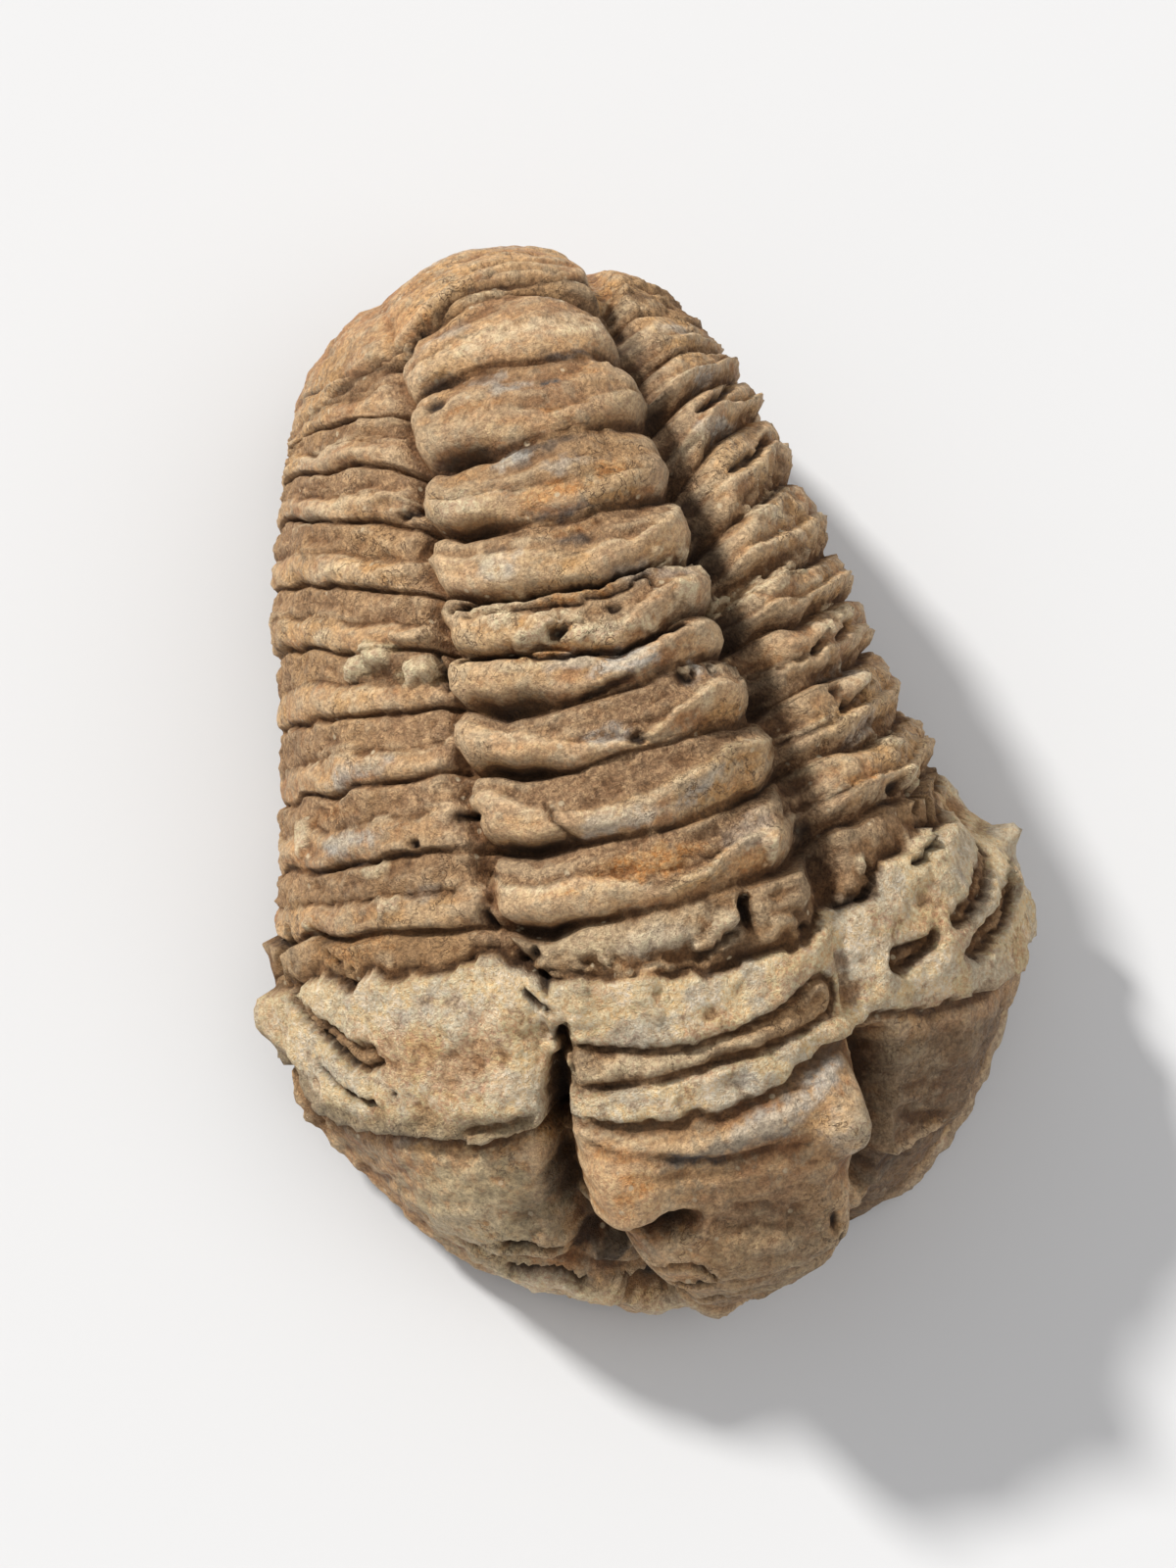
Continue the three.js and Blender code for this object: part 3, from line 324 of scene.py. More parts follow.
# Swellings and hollows of the head: s, t, half-length along s, half-length along t, height, and
# how firm the edge is.
LOBES = [
    (23.4, 9.8, 2.3, 2.8, 1.8, 1.9),
    (21.9, -6.5, 2.9, 3.2, 1.9, 1.8),
    (18.4, 2.5, 2.2, 5.0, -0.7, 1.4),
    (19.4, 10.2, 1.9, 2.2, -1.3, 1.5),
    (15.5, 5.0, 3.0, 4.0, 0.5, 1.2),
    (11.0, 0.8, 4.5, 7.0, 0.6, 1.5),
    (5.0, 8.5, 4.6, 4.2, -1.0, 1.4),
    (4.4, -3.5, 2.2, 6.0, 1.1, 1.6),
    (20.0, -13.5, 4.0, 2.6, -0.7, 1.2),
    (67.5, -31.0, 1.8, 3.2, 1.0, 1.2),
    (22.5, -19.5, 7.0, 7.5, 1.2, 1.0),
    (24.5, 22.0, 5.0, 5.0, 0.9, 1.0),
    (21.5, 17.5, 5.5, 4.0, -1.4, 1.2),
    (15.0, 15.5, 2.6, 3.6, -1.2, 1.2),
    (9.6, 14.5, 3.0, 3.4, -2.4, 1.5),
    (13.6, -10.0, 2.0, 3.0, -0.8, 1.3),
    (11.8, -7.4, 1.8, 2.2, -0.8, 1.3),
    (37.1, 37.0, 0.95, 2.0, 1.8, 1.5),
    (61.8, -18.4, 1.0, 2.4, 0.4, 2.5),
    (59.9, -13.8, 0.8, 1.8, 0.4, 2.5),
    (41.3, 33.0, 2.8, 6.0, -2.0, 1.4),
    (37.2, -38.0, 2.6, 3.0, 1.1, 1.2),
]

# Loose flakes still stuck to the rings and ribs: s, t, half-length along s and along t, height.
FLAKES = [
    (59.5, -5.4, 0.5, 0.9, 0.45), (60.5, -4.2, 0.6, 0.8, 0.5), (59.3, -1.2, 0.45, 1.5, 0.4),
    (60.6, -2.4, 0.4, 0.6, 0.4), (59.2, 2.0, 0.4, 1.3, 0.35), (61.3, -6.8, 0.5, 0.8, 0.3),
    (63.4, 4.6, 0.6, 1.1, 0.5), (64.2, 6.8, 0.5, 0.8, 0.55), (60.9, 5.4, 0.5, 0.8, 0.45),
    (62.4, 7.6, 0.5, 0.7, 0.4), (60.9, 10.7, 0.6, 1.1, 0.6), (61.4, 13.2, 0.6, 1.6, 0.5),
    (62.2, 15.8, 0.5, 1.5, 0.5), (66.8, 14.8, 0.6, 1.6, 0.4), (57.2, 17.4, 0.6, 1.0, 0.5),
    (58.6, 20.8, 0.7, 1.2, 0.5), (52.6, 19.6, 0.5, 1.4, 0.5), (47.8, 21.8, 0.6, 1.3, 0.5),
    (44.6, 23.0, 0.6, 1.4, 0.5), (42.4, 7.7, 0.8, 0.4, 0.5), (37.8, -4.6, 0.5, 0.5, 0.35),
    (38.3, 3.4, 0.5, 0.7, 0.4), (36.2, -6.8, 0.6, 0.5, 0.3), (55.6, 4.4, 0.5, 0.4, 0.5),
    (55.6, 6.4, 0.4, 0.35, 0.5), (44.0, -19.6, 0.5, 0.8, 0.4), (46.6, -20.6, 0.4, 1.0, 0.3),
    (39.9, 15.4, 0.35, 0.4, 0.5), (62.5, -6.8, 0.4, 1.8, 0.25), (33.9, -2.8, 0.9, 0.7, 0.3),
    (61.9, -18.8, 0.9, 1.2, 0.5), (62.0, -17.0, 0.7, 0.9, 0.6), (61.3, -20.2, 0.5, 0.8, 0.4),
    (60.0, -14.0, 0.8, 1.2, 0.5), (59.7, -12.9, 0.4, 0.5, 0.4),
    (40.3, 20.8, 0.5, 1.2, 0.4), (43.0, -30.2, 0.8, 0.7, 0.35), (50.4, -30.6, 1.2, 1.0, 0.4),
]

# Raised bands across the head: s at the crest, bow per square mm across, half-width, height, reach.
BANDS = [
    (24.3, 0.03, 1.2, 0.55, 9.0),
    (22.3, 0.02, 0.7, -0.35, 6.0),
    (38.4, 0.006, 0.8, 0.5, 11.0),
]

# The raised rim along the margin of the head on each side, and the groove inside the +X one: how
# far in, half-width, height.
RIM_MINUS = (1.7, 1.1, 0.7)
RIM_PLUS = (0.2, 1.8, 1.8)
RIM_GROOVE = (2.5, 0.5, -0.6)
RIM_END = 36

# The front rim below the glabella and the -X cheek: t across, then s.
FRONT_RIM = np.array([[-22, 16.0], [-18, 14.2], [-14, 12.8], [-10, 10.6], [-7, 8.4], [-4, 6.2],
                      [-1, 4.2], [2, 3.0], [6, 2.6]])

# Patches of colour in the stone, by kind, the last kind being patches of painted shade: strength,
# s, t, half-length along s and along t, and for a patch that leans, how far it moves along s for
# each millimetre across.
PATCHES = {
    "ochre": [
        (0.8, 21.8, -6.6, 3.0, 3.2), (0.4, 14.5, -1.0, 3.0, 4.0), (0.4, 31.6, 1.4, 1.5, 2.0),
        (0.9, 43.4, -0.8, 1.0, 4.0, 0.02), (1.0, 42.5, -6.6, 0.35, 1.8),
        (0.6, 42.0, 6.2, 0.8, 1.8, 0.1), (0.9, 36.0, -2.0, 0.25, 1.0, 0.05),
        (0.4, 41.0, -8.5, 0.8, 2.5), (0.4, 47.2, 7.2, 1.0, 2.0), (0.5, 46.9, -9.0, 1.0, 2.4),
        (0.6, 52.3, -7.5, 0.9, 3.2), (0.6, 52.8, 7.2, 0.9, 1.2), (0.5, 52.2, 2.4, 0.4, 1.4, 0.35),
        (0.4, 57.0, -8.6, 0.9, 2.2), (0.9, 58.5, -3.2, 0.35, 3.6, 0.02),
        (0.9, 61.9, -2.2, 0.28, 2.6, 0.02), (0.4, 66.5, -1.0, 0.4, 2.2, 0.05),
        (0.9, 69.3, -2.2, 0.8, 2.2, 0.08), (0.6, 68.9, -7.4, 0.5, 2.4),
        (0.8, 70.3, 2.2, 0.8, 1.1, 0.2), (0.5, 75.0, 0.8, 0.7, 3.0, 0.1),
        (0.4, 72.4, -6.8, 0.6, 1.6), (0.4, 78.0, 2.0, 0.9, 2.0), (0.4, 83.6, -2.0, 0.5, 2.0),
        (0.6, 87.8, -8.8, 1.4, 2.2), (0.6, 65.6, -27, 0.7, 2.6), (0.35, 59.5, -28, 1.0, 3.0),
        (0.7, 49.6, -31.5, 1.6, 1.4), (0.4, 51.4, -25, 0.7, 3.5), (0.5, 41.4, -24, 0.9, 4.5),
        (0.5, 43.8, -30, 1.6, 1.6), (0.6, 32.8, -34.6, 1.6, 1.4), (0.6, 75.4, 20.0, 1.2, 1.2),
        (0.6, 60.5, 22.5, 1.4, 0.8), (0.35, 56.2, 13.8, 0.9, 2.6, 0.1),
        (0.7, 45.8, 17.4, 0.5, 1.8, 0.1), (0.25, 34.6, 17.6, 1.6, 3.0),
        (0.2, 36.0, 25.0, 1.2, 2.4), (0.35, 34.0, -20.0, 2.4, 2.6), (0.3, 30.2, -17.0, 1.4, 4.0),
        (0.5, 65.0, 5.0, 0.7, 3.0, 0.2), (0.4, 76.5, -5.5, 1.0, 2.0), (0.5, 31.4, 12.4, 1.0, 1.6),
        (0.4, 35.4, 15.4, 1.2, 1.2), (0.5, 30.6, -22.6, 0.8, 2.0), (0.3, 32.6, -15, 1.5, 2.4),
    ],
    "moss": [
        (0.4, 15.6, 2.8, 1.6, 1.8), (0.9, 61.8, -18.4, 1.2, 2.6), (0.9, 59.9, -13.8, 0.9, 2.0),
        (0.4, 54.2, -19.4, 0.6, 1.2), (0.6, 46.6, -20.8, 0.5, 1.2),
        (0.5, 61.4, 14.6, 0.6, 2.6, 0.12), (0.4, 47.2, 14.5, 0.5, 2.4),
        (0.75, 20.5, -19.0, 5.5, 7.5), (0.35, 13.0, 3.0, 5.0, 6.0),
    ],
    "lead": [
        (0.9, 23.6, -0.4, 0.7, 3.0, 0.05), (0.6, 24.2, 3.2, 0.8, 2.4, 0.28),
        (0.7, 65.7, -1.2, 0.4, 1.0), (0.35, 66.0, -6.4, 0.3, 1.4),
        (0.7, 67.9, -1.0, 0.4, 2.4, 0.02), (0.6, 73.0, -1.4, 0.5, 1.8),
        (0.5, 78.2, -2.6, 0.25, 1.0), (1.0, 77.7, -0.2, 0.55, 0.55),
        (0.7, 80.3, 1.6, 0.4, 2.0, -0.03), (0.6, 86.5, 1.6, 0.4, 1.2),
        (0.35, 16.0, 16.0, 2.0, 3.4, 0.2), (0.4, 12.6, -8.4, 2.2, 2.8),
        (0.3, 9.2, -6.4, 1.6, 2.0),
    ],
    "slate": [
        (0.8, 24.9, 3.6, 1.0, 3.0, 0.25), (0.8, 26.4, 7.6, 1.1, 2.0, 0.5),
        (0.7, 27.6, 2.9, 0.6, 0.7), (0.35, 34.2, 1.2, 0.8, 1.6), (0.3, 31.8, -4.2, 1.5, 1.2),
        (0.7, 38.3, 4.0, 0.5, 0.6), (0.7, 38.2, -1.6, 0.9, 2.6, 0.02),
        (0.7, 46.4, -2.2, 0.85, 3.2, 0.05), (0.7, 47.7, 3.5, 0.9, 1.6, 0.45),
        (0.7, 52.2, -1.8, 0.7, 1.6, -0.1), (0.9, 56.9, 0.6, 0.8, 2.6, 0.12),
        (0.5, 57.6, -3.0, 0.6, 2.0), (0.8, 55.4, 4.6, 0.7, 0.8), (0.8, 55.5, 6.3, 0.5, 0.4),
        (0.6, 59.3, -0.2, 0.5, 1.2), (0.8, 64.8, -6.1, 0.9, 1.5), (0.5, 71.2, -0.5, 0.5, 2.0),
        (1.0, 72.5, -3.6, 0.5, 1.5), (0.7, 77.9, -2.6, 0.5, 1.3), (0.6, 79.2, -3.9, 0.5, 1.6),
        (0.4, 96.0, -2, 2.0, 4.0), (0.6, 53.9, -21, 0.7, 3.4, 0.04),
        (0.9, 49.0, -23.6, 0.65, 3.6, 0.04), (0.35, 44.4, -17, 0.6, 2.0),
        (0.5, 83.8, 12.0, 0.7, 1.8), (0.7, 79.4, 13.4, 0.8, 2.2, 0.15),
        (0.7, 74.4, 13.4, 0.7, 3.4, 0.15), (0.6, 49.3, 19.6, 0.8, 2.8, 0.12),
        (0.6, 53.8, 19.6, 0.7, 2.2, 0.1), (0.35, 33.7, 11.5, 0.7, 2.0, 0.1),
        (0.45, 36.9, 22.4, 1.2, 1.8), (0.35, 31.4, 22.5, 1.2, 1.2), (0.4, 23.0, 9.0, 2.0, 2.0),
        (0.4, 44.0, 6.5, 1.0, 2.4, 0.1), (0.4, 62.8, 4.2, 0.8, 3.0, 0.1),
        (0.4, 84.6, -5.5, 0.7, 1.8), (0.45, 36.6, -17.4, 1.2, 2.6), (0.4, 37.0, -25.4, 1.4, 1.6),
        (0.6, 33.4, -27.4, 0.8, 2.6, -0.6), (0.4, 27.8, -21.5, 0.6, 3.0),
    ],
    "chalk": [
        (0.5, 25.6, -5.6, 0.5, 2.4, -0.2), (0.6, 33.9, -3.0, 0.9, 0.8),
        (0.4, 20.4, -20, 1.3, 5.5, 0.1), (0.5, 18.0, -22, 0.8, 4.0, 0.2),
        (0.4, 24.5, 17.0, 1.0, 1.0), (0.4, 25.4, 15.8, 0.8, 0.8), (0.35, 20.6, 17.2, 0.9, 1.0),
        (0.35, 22.6, 18.6, 1.2, 0.8), (0.5, 23.6, 9.8, 1.6, 1.0), (0.8, 42.6, 7.8, 0.8, 0.35),
        (0.8, 37.8, -4.6, 0.5, 0.35), (0.6, 35.9, -7.4, 0.5, 0.4), (0.7, 38.2, 3.0, 0.5, 0.5),
        (0.6, 36.3, -4.2, 0.25, 1.0, 0.1), (0.3, 46.6, -1.4, 0.7, 2.8, 0.05),
        (0.35, 53.0, -5.5, 0.5, 2.4), (0.5, 53.3, 5.0, 0.7, 0.7),
        (0.8, 59.5, -2.0, 0.7, 3.4, 0.04), (0.7, 59.6, 3.6, 0.5, 3.0, 0.12),
        (0.7, 62.5, -6.8, 0.45, 2.0), (0.6, 61.2, -6.6, 0.5, 0.7), (0.7, 60.8, -2.6, 0.4, 0.4),
        (0.7, 60.6, 5.6, 0.5, 0.7, 0.1), (0.5, 63.6, 4.6, 0.5, 1.0), (0.5, 65.0, -6.4, 0.7, 1.0),
        (0.5, 66.1, -4.0, 0.45, 1.8), (0.9, 70.2, -7.4, 0.75, 1.8, 0.12),
        (0.6, 72.5, -4.2, 0.22, 0.6), (0.6, 82.6, -2.5, 1.1, 3.4), (0.6, 82.6, 1.8, 1.1, 2.6),
        (0.6, 87.3, -2.8, 0.3, 2.2, 0.12), (0.5, 80.3, -20, 0.6, 5.5, -0.1),
        (0.5, 74.6, -21, 0.6, 6.5, -0.1), (0.4, 85.2, -19, 0.5, 4.5), (0.4, 69.4, -19, 0.5, 4.0),
        (0.6, 64.8, -22.8, 0.4, 1.6), (0.5, 59.6, -19, 0.5, 2.5),
        (0.4, 49.2, -23.6, 0.4, 2.8, 0.04), (0.5, 50.6, -30.2, 0.8, 0.6),
        (0.8, 44.0, -19.6, 0.45, 0.8), (0.4, 40.4, -20.6, 0.5, 0.8),
        (0.5, 87.4, 9, 0.7, 3.0, -0.04), (0.5, 83.6, 9.4, 0.7, 2.4),
        (0.7, 78.8, 10.2, 0.5, 1.4, 0.05), (0.7, 73.2, 10.6, 0.5, 1.3),
        (0.5, 69.5, 11.4, 0.7, 1.5), (1.0, 60.9, 10.6, 0.6, 1.2),
        (0.6, 61.8, 15.6, 0.5, 3.4, 0.12), (0.5, 44.6, 18.8, 0.6, 2.2, 0.05),
        (0.9, 39.9, 15.4, 0.35, 0.5), (0.6, 52.6, 19.8, 0.35, 0.8), (0.6, 45.0, 23.4, 0.5, 1.2),
        (0.5, 66.6, 15.6, 0.6, 1.8, 0.3), (0.7, 30.3, -2.5, 0.9, 6.0),
        (0.5, 25.6, 17.5, 1.1, 1.2), (0.5, 23.8, 19.1, 1.0, 1.1), (0.4, 25.9, 23.0, 0.9, 0.9),
        (0.4, 21.0, 19.0, 0.9, 1.0), (0.6, 38.6, -2.0, 1.4, 7.0),
    ],
    # Painted shade in the gullies beside the glabella, over its ear and front, and in soft patches
    # over the rings, ribs and tail shield.
    "hollow": [
        (0.75, 21.5, -11.3, 2.8, 1.2), (0.4, 19.8, -12.9, 3.2, 2.2), (0.8, 15.0, -10.4, 1.6, 1.7),
        (0.8, 13.2, -8.2, 1.2, 1.8), (0.6, 22.5, 13.8, 4.6, 1.8), (0.6, 15.6, 13.6, 2.2, 1.8),
        (0.3, 22.4, 10.6, 3.2, 1.7), (0.2, 12.0, 5.5, 5.0, 3.5), (0.25, 50.5, 6.0, 1.0, 3.0, 0.1),
        (0.14, 72.5, -2.0, 8.5, 9.0), (0.12, 23.0, -6.0, 3.2, 3.4), (0.24, 21.0, 2.0, 2.4, 5.0),
        (0.15, 46.0, -22.0, 5.5, 9.0), (0.1, 87.0, -14.0, 3.0, 5.0),
    ],
}

# How far off in the noise each pattern is read. Patterns that share a number don't look alike,
# because they are drawn out or sized differently.
PATTERN = {
    "groove": 0, "wander": 0, "lumps": 0, "grain": 0, "ledge": 0, "ledge fringe": 3, "facets": 5,
    "ring strength": 5, "furrow depth": 9, "groove depth": 9, "leaves": 13, "dust": 15,
    "furrow shade": 21, "trench": 21, "torn lip": 27, "ragged s": 31, "torn tips": 43,
    "ragged t": 57, "frayed": 71, "mottled": 91,
}

# How far the edges of each kind of damage wander, in millimetres, and how far apart the wanders.
RAGGED = {
    "sheet": (0.4, 1.5), "shield": (0.25, 2.0), "flakes": (0.35, 0.8), "steps": (0.3, 0.9),
    "windows": (0.2, 1.6), "hollows": (0.25, 1.0), "cracks": (0.16, 0.7), "ridges": (0.2, 0.8),
    "pits": (0.2, 0.7), "paint": (0.35, 1.2),
}

# The stone's own unevenness: heights in millimetres.
BROAD_LUMPS, SCRATCHES, RUBBLE_IN_GROOVES = 0.2, 0.1, 0.45
LAYERS_ON_SHELL, LAYERS_ON_ROCK, LAYERS_ON_SHEET = 0.07, 0.14, 0.21
GRAIN_ON_SHELL, GRAIN_ON_ROCK = 0.045, 0.16
GRAIN_LEFT_ON_SHEET = 0.5

# The stand-out mark compares a place with the mean height so many places round it. These are how
# many, and the difference in millimetres that counts in full, for sharp edges and for broad rises.
EDGE_REACH, EDGE_FULL = 2, 0.12
RISE_REACH, RISE_FULL = 7, 0.7

# ---------------------------------------------------------------- how finely the skin is divided

HEAD_ROWS, SHIELD_ROWS, TAIL_ROWS = 112, 30, 12
RING_STEPS = np.array([0, 0.03, 0.06, 0.1, 0.16, 0.23, 0.31, 0.38, 0.44, 0.49, 0.54, 0.6, 0.67,
                       0.75, 0.83, 0.9, 0.94, 0.97])
BACK_COLUMNS, BELLY_COLUMNS = 272, 36
CREST_GATHER = 1.2

# ---------------------------------------------------------------- small mathematics


def smooth(x):
    """0 to 1 as x goes from 0 to 1, level at both ends."""
    k = np.clip(x, 0, 1)
    return k * k * (3 - 2 * k)


def bell(x):
    return np.exp(-x * x)


def within(x, start, rise, end, fall):
    """1 from `start` to `end`, easing in over the first `rise` and out over the last `fall`."""
    return smooth((x - start) / rise) * smooth((end - x) / fall)


def mix(a, b, k):
    return a + (b - a) * k


def along(table, x, column=1):
    """One column of a table, read between its rows."""
    return np.interp(x, table[:, 0], table[:, column])


class Lumps:
    """Smooth random heights in space from -1 to 1, the same on every run."""

    SIDE = 32

    def __init__(self, seed):
        self.lattice = np.random.default_rng(seed).uniform(-1, 1, (self.SIDE,) * 3)

    def __call__(self, place, size):
        p = place / size
        cell = np.floor(p).astype(int)
        f = smooth(p - cell)
        total = 0
        for dx in (0, 1):
            for dy in (0, 1):
                for dz in (0, 1):
                    i, j, k = ((cell[..., n] + d) % self.SIDE for n, d in enumerate((dx, dy, dz)))
                    wx = f[..., 0] if dx else 1 - f[..., 0]
                    wy = f[..., 1] if dy else 1 - f[..., 1]
                    wz = f[..., 2] if dz else 1 - f[..., 2]
                    total = total + self.lattice[i, j, k] * wx * wy * wz
        return total

    def rough(self, place, size, octaves=3):
        """Lumps upon lumps, each half the size and half the height of the last."""
        return sum(self(place + 7.3 * n, size / 2 ** n) / 2 ** n for n in range(octaves))


# ---------------------------------------------------------------- the smooth body


def station_slopes():
    """The slope of each station value at each station, flat where the value turns back."""
    step = np.diff(STATIONS, axis=0)
    before, after = step[:-1], step[1:]
    agree = before * after > 0
    inner = np.where(agree, 2 * before * after / np.where(agree, before + after, 1), 0)

    def end(near, following):
        slope = (3 * near - following) / 2
        slope = np.where(slope * near <= 0, 0, slope)
        too_steep = (near * following < 0) & (np.abs(slope) > 3 * np.abs(near))
        return np.where(too_steep, 3 * near, slope)

    return np.vstack([end(step[0], step[1]), inner, end(step[-1], step[-2])])


STATION_SLOPES = station_slopes()


def station_at(u):
    """The eight station values at u, by a curve that never overshoots."""
    x = np.clip(u, 0, 1) * (len(STATIONS) - 1)
    i = np.minimum(np.floor(x).astype(int), len(STATIONS) - 2)
    k = (x - i)[..., None]
    a, b = STATIONS[i], STATIONS[i + 1]
    sa, sb = STATION_SLOPES[i], STATION_SLOPES[i + 1]
    k2, k3 = k * k, k * k * k
    value = a * (2 * k3 - 3 * k2 + 1) + b * (3 * k2 - 2 * k3)
    value += sa * (k3 - 2 * k2 + k) + sb * (k3 - k2)
    return np.moveaxis(value, -1, 0)


def body_point(u, q):
    """The smooth body. q is -1 to 1 across the back and 1 to 3 on under the belly."""
    cy, cz, lx, ly, lz, rx, ry, rz = station_at(u)
    angle = np.minimum(np.abs(q), 1) * math.pi / 2
    out = np.sin(angle) ** SHOULDER_WIDTH
    fall = 1 - np.maximum(np.cos(angle), 0) ** SHOULDER_HEIGHT
    minus = q < 0
    mx, my, mz = np.where(minus, lx, rx), np.where(minus, ly, ry), np.where(minus, lz, rz)
    back = np.stack([mx * out, mix(cy, my, fall), mix(cz, mz, fall)], -1)

    k = (q - 1) / 2
    near = np.minimum(k, 1 - k) / BELLY_EDGE
    width = rx - lx + 1e-9
    roll = np.minimum(BELLY_ROLL, 0.225 * width)
    turn = np.clip(near, 0, 1) * math.pi / 2
    inset = roll * (1 - np.cos(turn)) / width
    across = np.where(near < 1, inset, mix(roll / width, 0.5, (near - 1) / (0.5 / BELLY_EDGE - 1)))
    place = np.where(k < 0.5, across, 1 - across)
    height = mix(rz, lz, place)
    settle = smooth(np.minimum(u, 1 - u) / BELLY_FADE)
    belly_z = height * (1 - settle * np.sin(turn))
    belly = np.stack([mix(rx, lx, place), mix(ry, ly, place), belly_z], -1)
    return np.where((q <= 1)[..., None], back, belly)


def body_normal(u, q):
    """Straight out of the smooth body."""
    h = 1e-3
    u0, u1 = np.clip(u - h, 1e-4, 1 - 1e-4), np.clip(u + h, 1e-4, 1 - 1e-4)
    lengthwise = body_point(u1, q) - body_point(u0, q)
    crosswise = body_point(u, q + h) - body_point(u, q - h)
    normal = np.cross(crosswise, lengthwise)
    return normal / np.maximum(np.linalg.norm(normal, axis=-1, keepdims=True), 1e-12)


TABLE_U = np.linspace(0, 1, 401)
TABLE_Q = np.linspace(-1, 1, 161)


def crest_and_across():
    """Distance along the crest for TABLE_U, and across the back for TABLE_U and TABLE_Q."""
    u, q = np.meshgrid(TABLE_U, TABLE_Q, indexing="ij")
    points = body_point(u, q)
    middle = len(TABLE_Q) // 2
    crest = np.linalg.norm(np.diff(points[:, middle], axis=0), axis=-1)
    steps = np.linalg.norm(np.diff(points, axis=1), axis=-1)
    across = np.zeros(u.shape)
    across[:, middle + 1:] = np.cumsum(steps[:, middle:], axis=1)
    across[:, :middle] = -np.cumsum(steps[:, :middle][:, ::-1], axis=1)[:, ::-1]
    return np.concatenate([[0], np.cumsum(crest)]), across


CREST, ACROSS = crest_and_across()
LENGTH = CREST[-1]


def across_at(u, q):
    """Distance in millimetres from the crest to the place at q."""
    x = np.clip(u, 0, 1) * (len(TABLE_U) - 1)
    y = (np.clip(q, -1, 1) + 1) / 2 * (len(TABLE_Q) - 1)
    i = np.minimum(x.astype(int), len(TABLE_U) - 2)
    j = np.minimum(y.astype(int), len(TABLE_Q) - 2)
    a, b = x - i, y - j
    low = mix(ACROSS[i, j], ACROSS[i + 1, j], a)
    high = mix(ACROSS[i, j + 1], ACROSS[i + 1, j + 1], a)
    return mix(low, high, b)


def sweep(line, t):
    """How far towards the tail a line that crosses the crest at `line` has swept at t across."""
    still = np.zeros((1, FURROWS.shape[1] - 1))
    table = np.vstack([np.hstack([[[HEAD_END]], still]), FURROWS,
                       np.hstack([[[TAIL_START]], still])])
    columns = np.stack([along(table, line, n + 1) for n in range(len(SWEEP_ACROSS))], -1)
    j = np.clip(np.searchsorted(SWEEP_ACROSS, t) - 1, 0, len(SWEEP_ACROSS) - 2)
    k = (t - SWEEP_ACROSS[j]) / (SWEEP_ACROSS[j + 1] - SWEEP_ACROSS[j])
    low = np.take_along_axis(columns, j[..., None], -1)[..., 0]
    high = np.take_along_axis(columns, j[..., None] + 1, -1)[..., 0]
    return mix(low, high, np.clip(k, 0, 1))


# ---------------------------------------------------------------- shapes drawn on the skin


def path_distance(s, t, path):
    """Distance to a path of (s, t) points, and how far along the path the nearest point is."""
    best = np.full(s.shape, 1e9)
    place = np.zeros(s.shape)
    run = 0
    for (s0, t0), (s1, t1) in zip(path, path[1:]):
        ds, dt = s1 - s0, t1 - t0
        length = math.hypot(ds, dt)
        k = np.clip(((s - s0) * ds + (t - t0) * dt) / length ** 2, 0, 1)
        distance = np.hypot(s - s0 - k * ds, t - t0 - k * dt)
        closer = distance < best
        best = np.where(closer, distance, best)
        place = np.where(closer, run + k * length, place)
        run += length
    return best, np.minimum(place, run - place)


def outline_depth(s, t, outline):
    """How far inside a closed outline of (s, t) points a place is; negative outside."""
    inside = np.zeros(s.shape, bool)
    closed = outline + outline[:1]
    for (s0, t0), (s1, t1) in zip(closed, closed[1:]):
        spans = (t0 > t) != (t1 > t)
        crossing = s0 + (t - t0) * (s1 - s0) / (t1 - t0 if t1 != t0 else 1e-9)
        inside ^= spans & (s < crossing)
    distance, _ = path_distance(s, t, closed)
    return np.where(inside, distance, -distance)


def near_places(s, t, points, margin):
    """Which places lie within `margin` of the box around some (s, t) points."""
    p = np.array(points)
    low, high = p.min(0) - margin, p.max(0) + margin
    return (s > low[0]) & (s < high[0]) & (t > low[1]) & (t < high[1])


def blurred(grid, reach):
    """A grid averaged over `reach` places on every side."""
    for axis in (0, 1):
        pad = [(0, 0), (0, 0)]
        pad[axis] = (reach + 1, reach)
        total = np.cumsum(np.pad(grid, pad, mode="edge"), axis)
        size = 2 * reach + 1
        count = grid.shape[axis]
        ahead = np.take(total, np.arange(size, size + count), axis)
        behind = np.take(total, np.arange(count), axis)
        grid = (ahead - behind) / size
    return grid


# ---------------------------------------------------------------- relief and markings


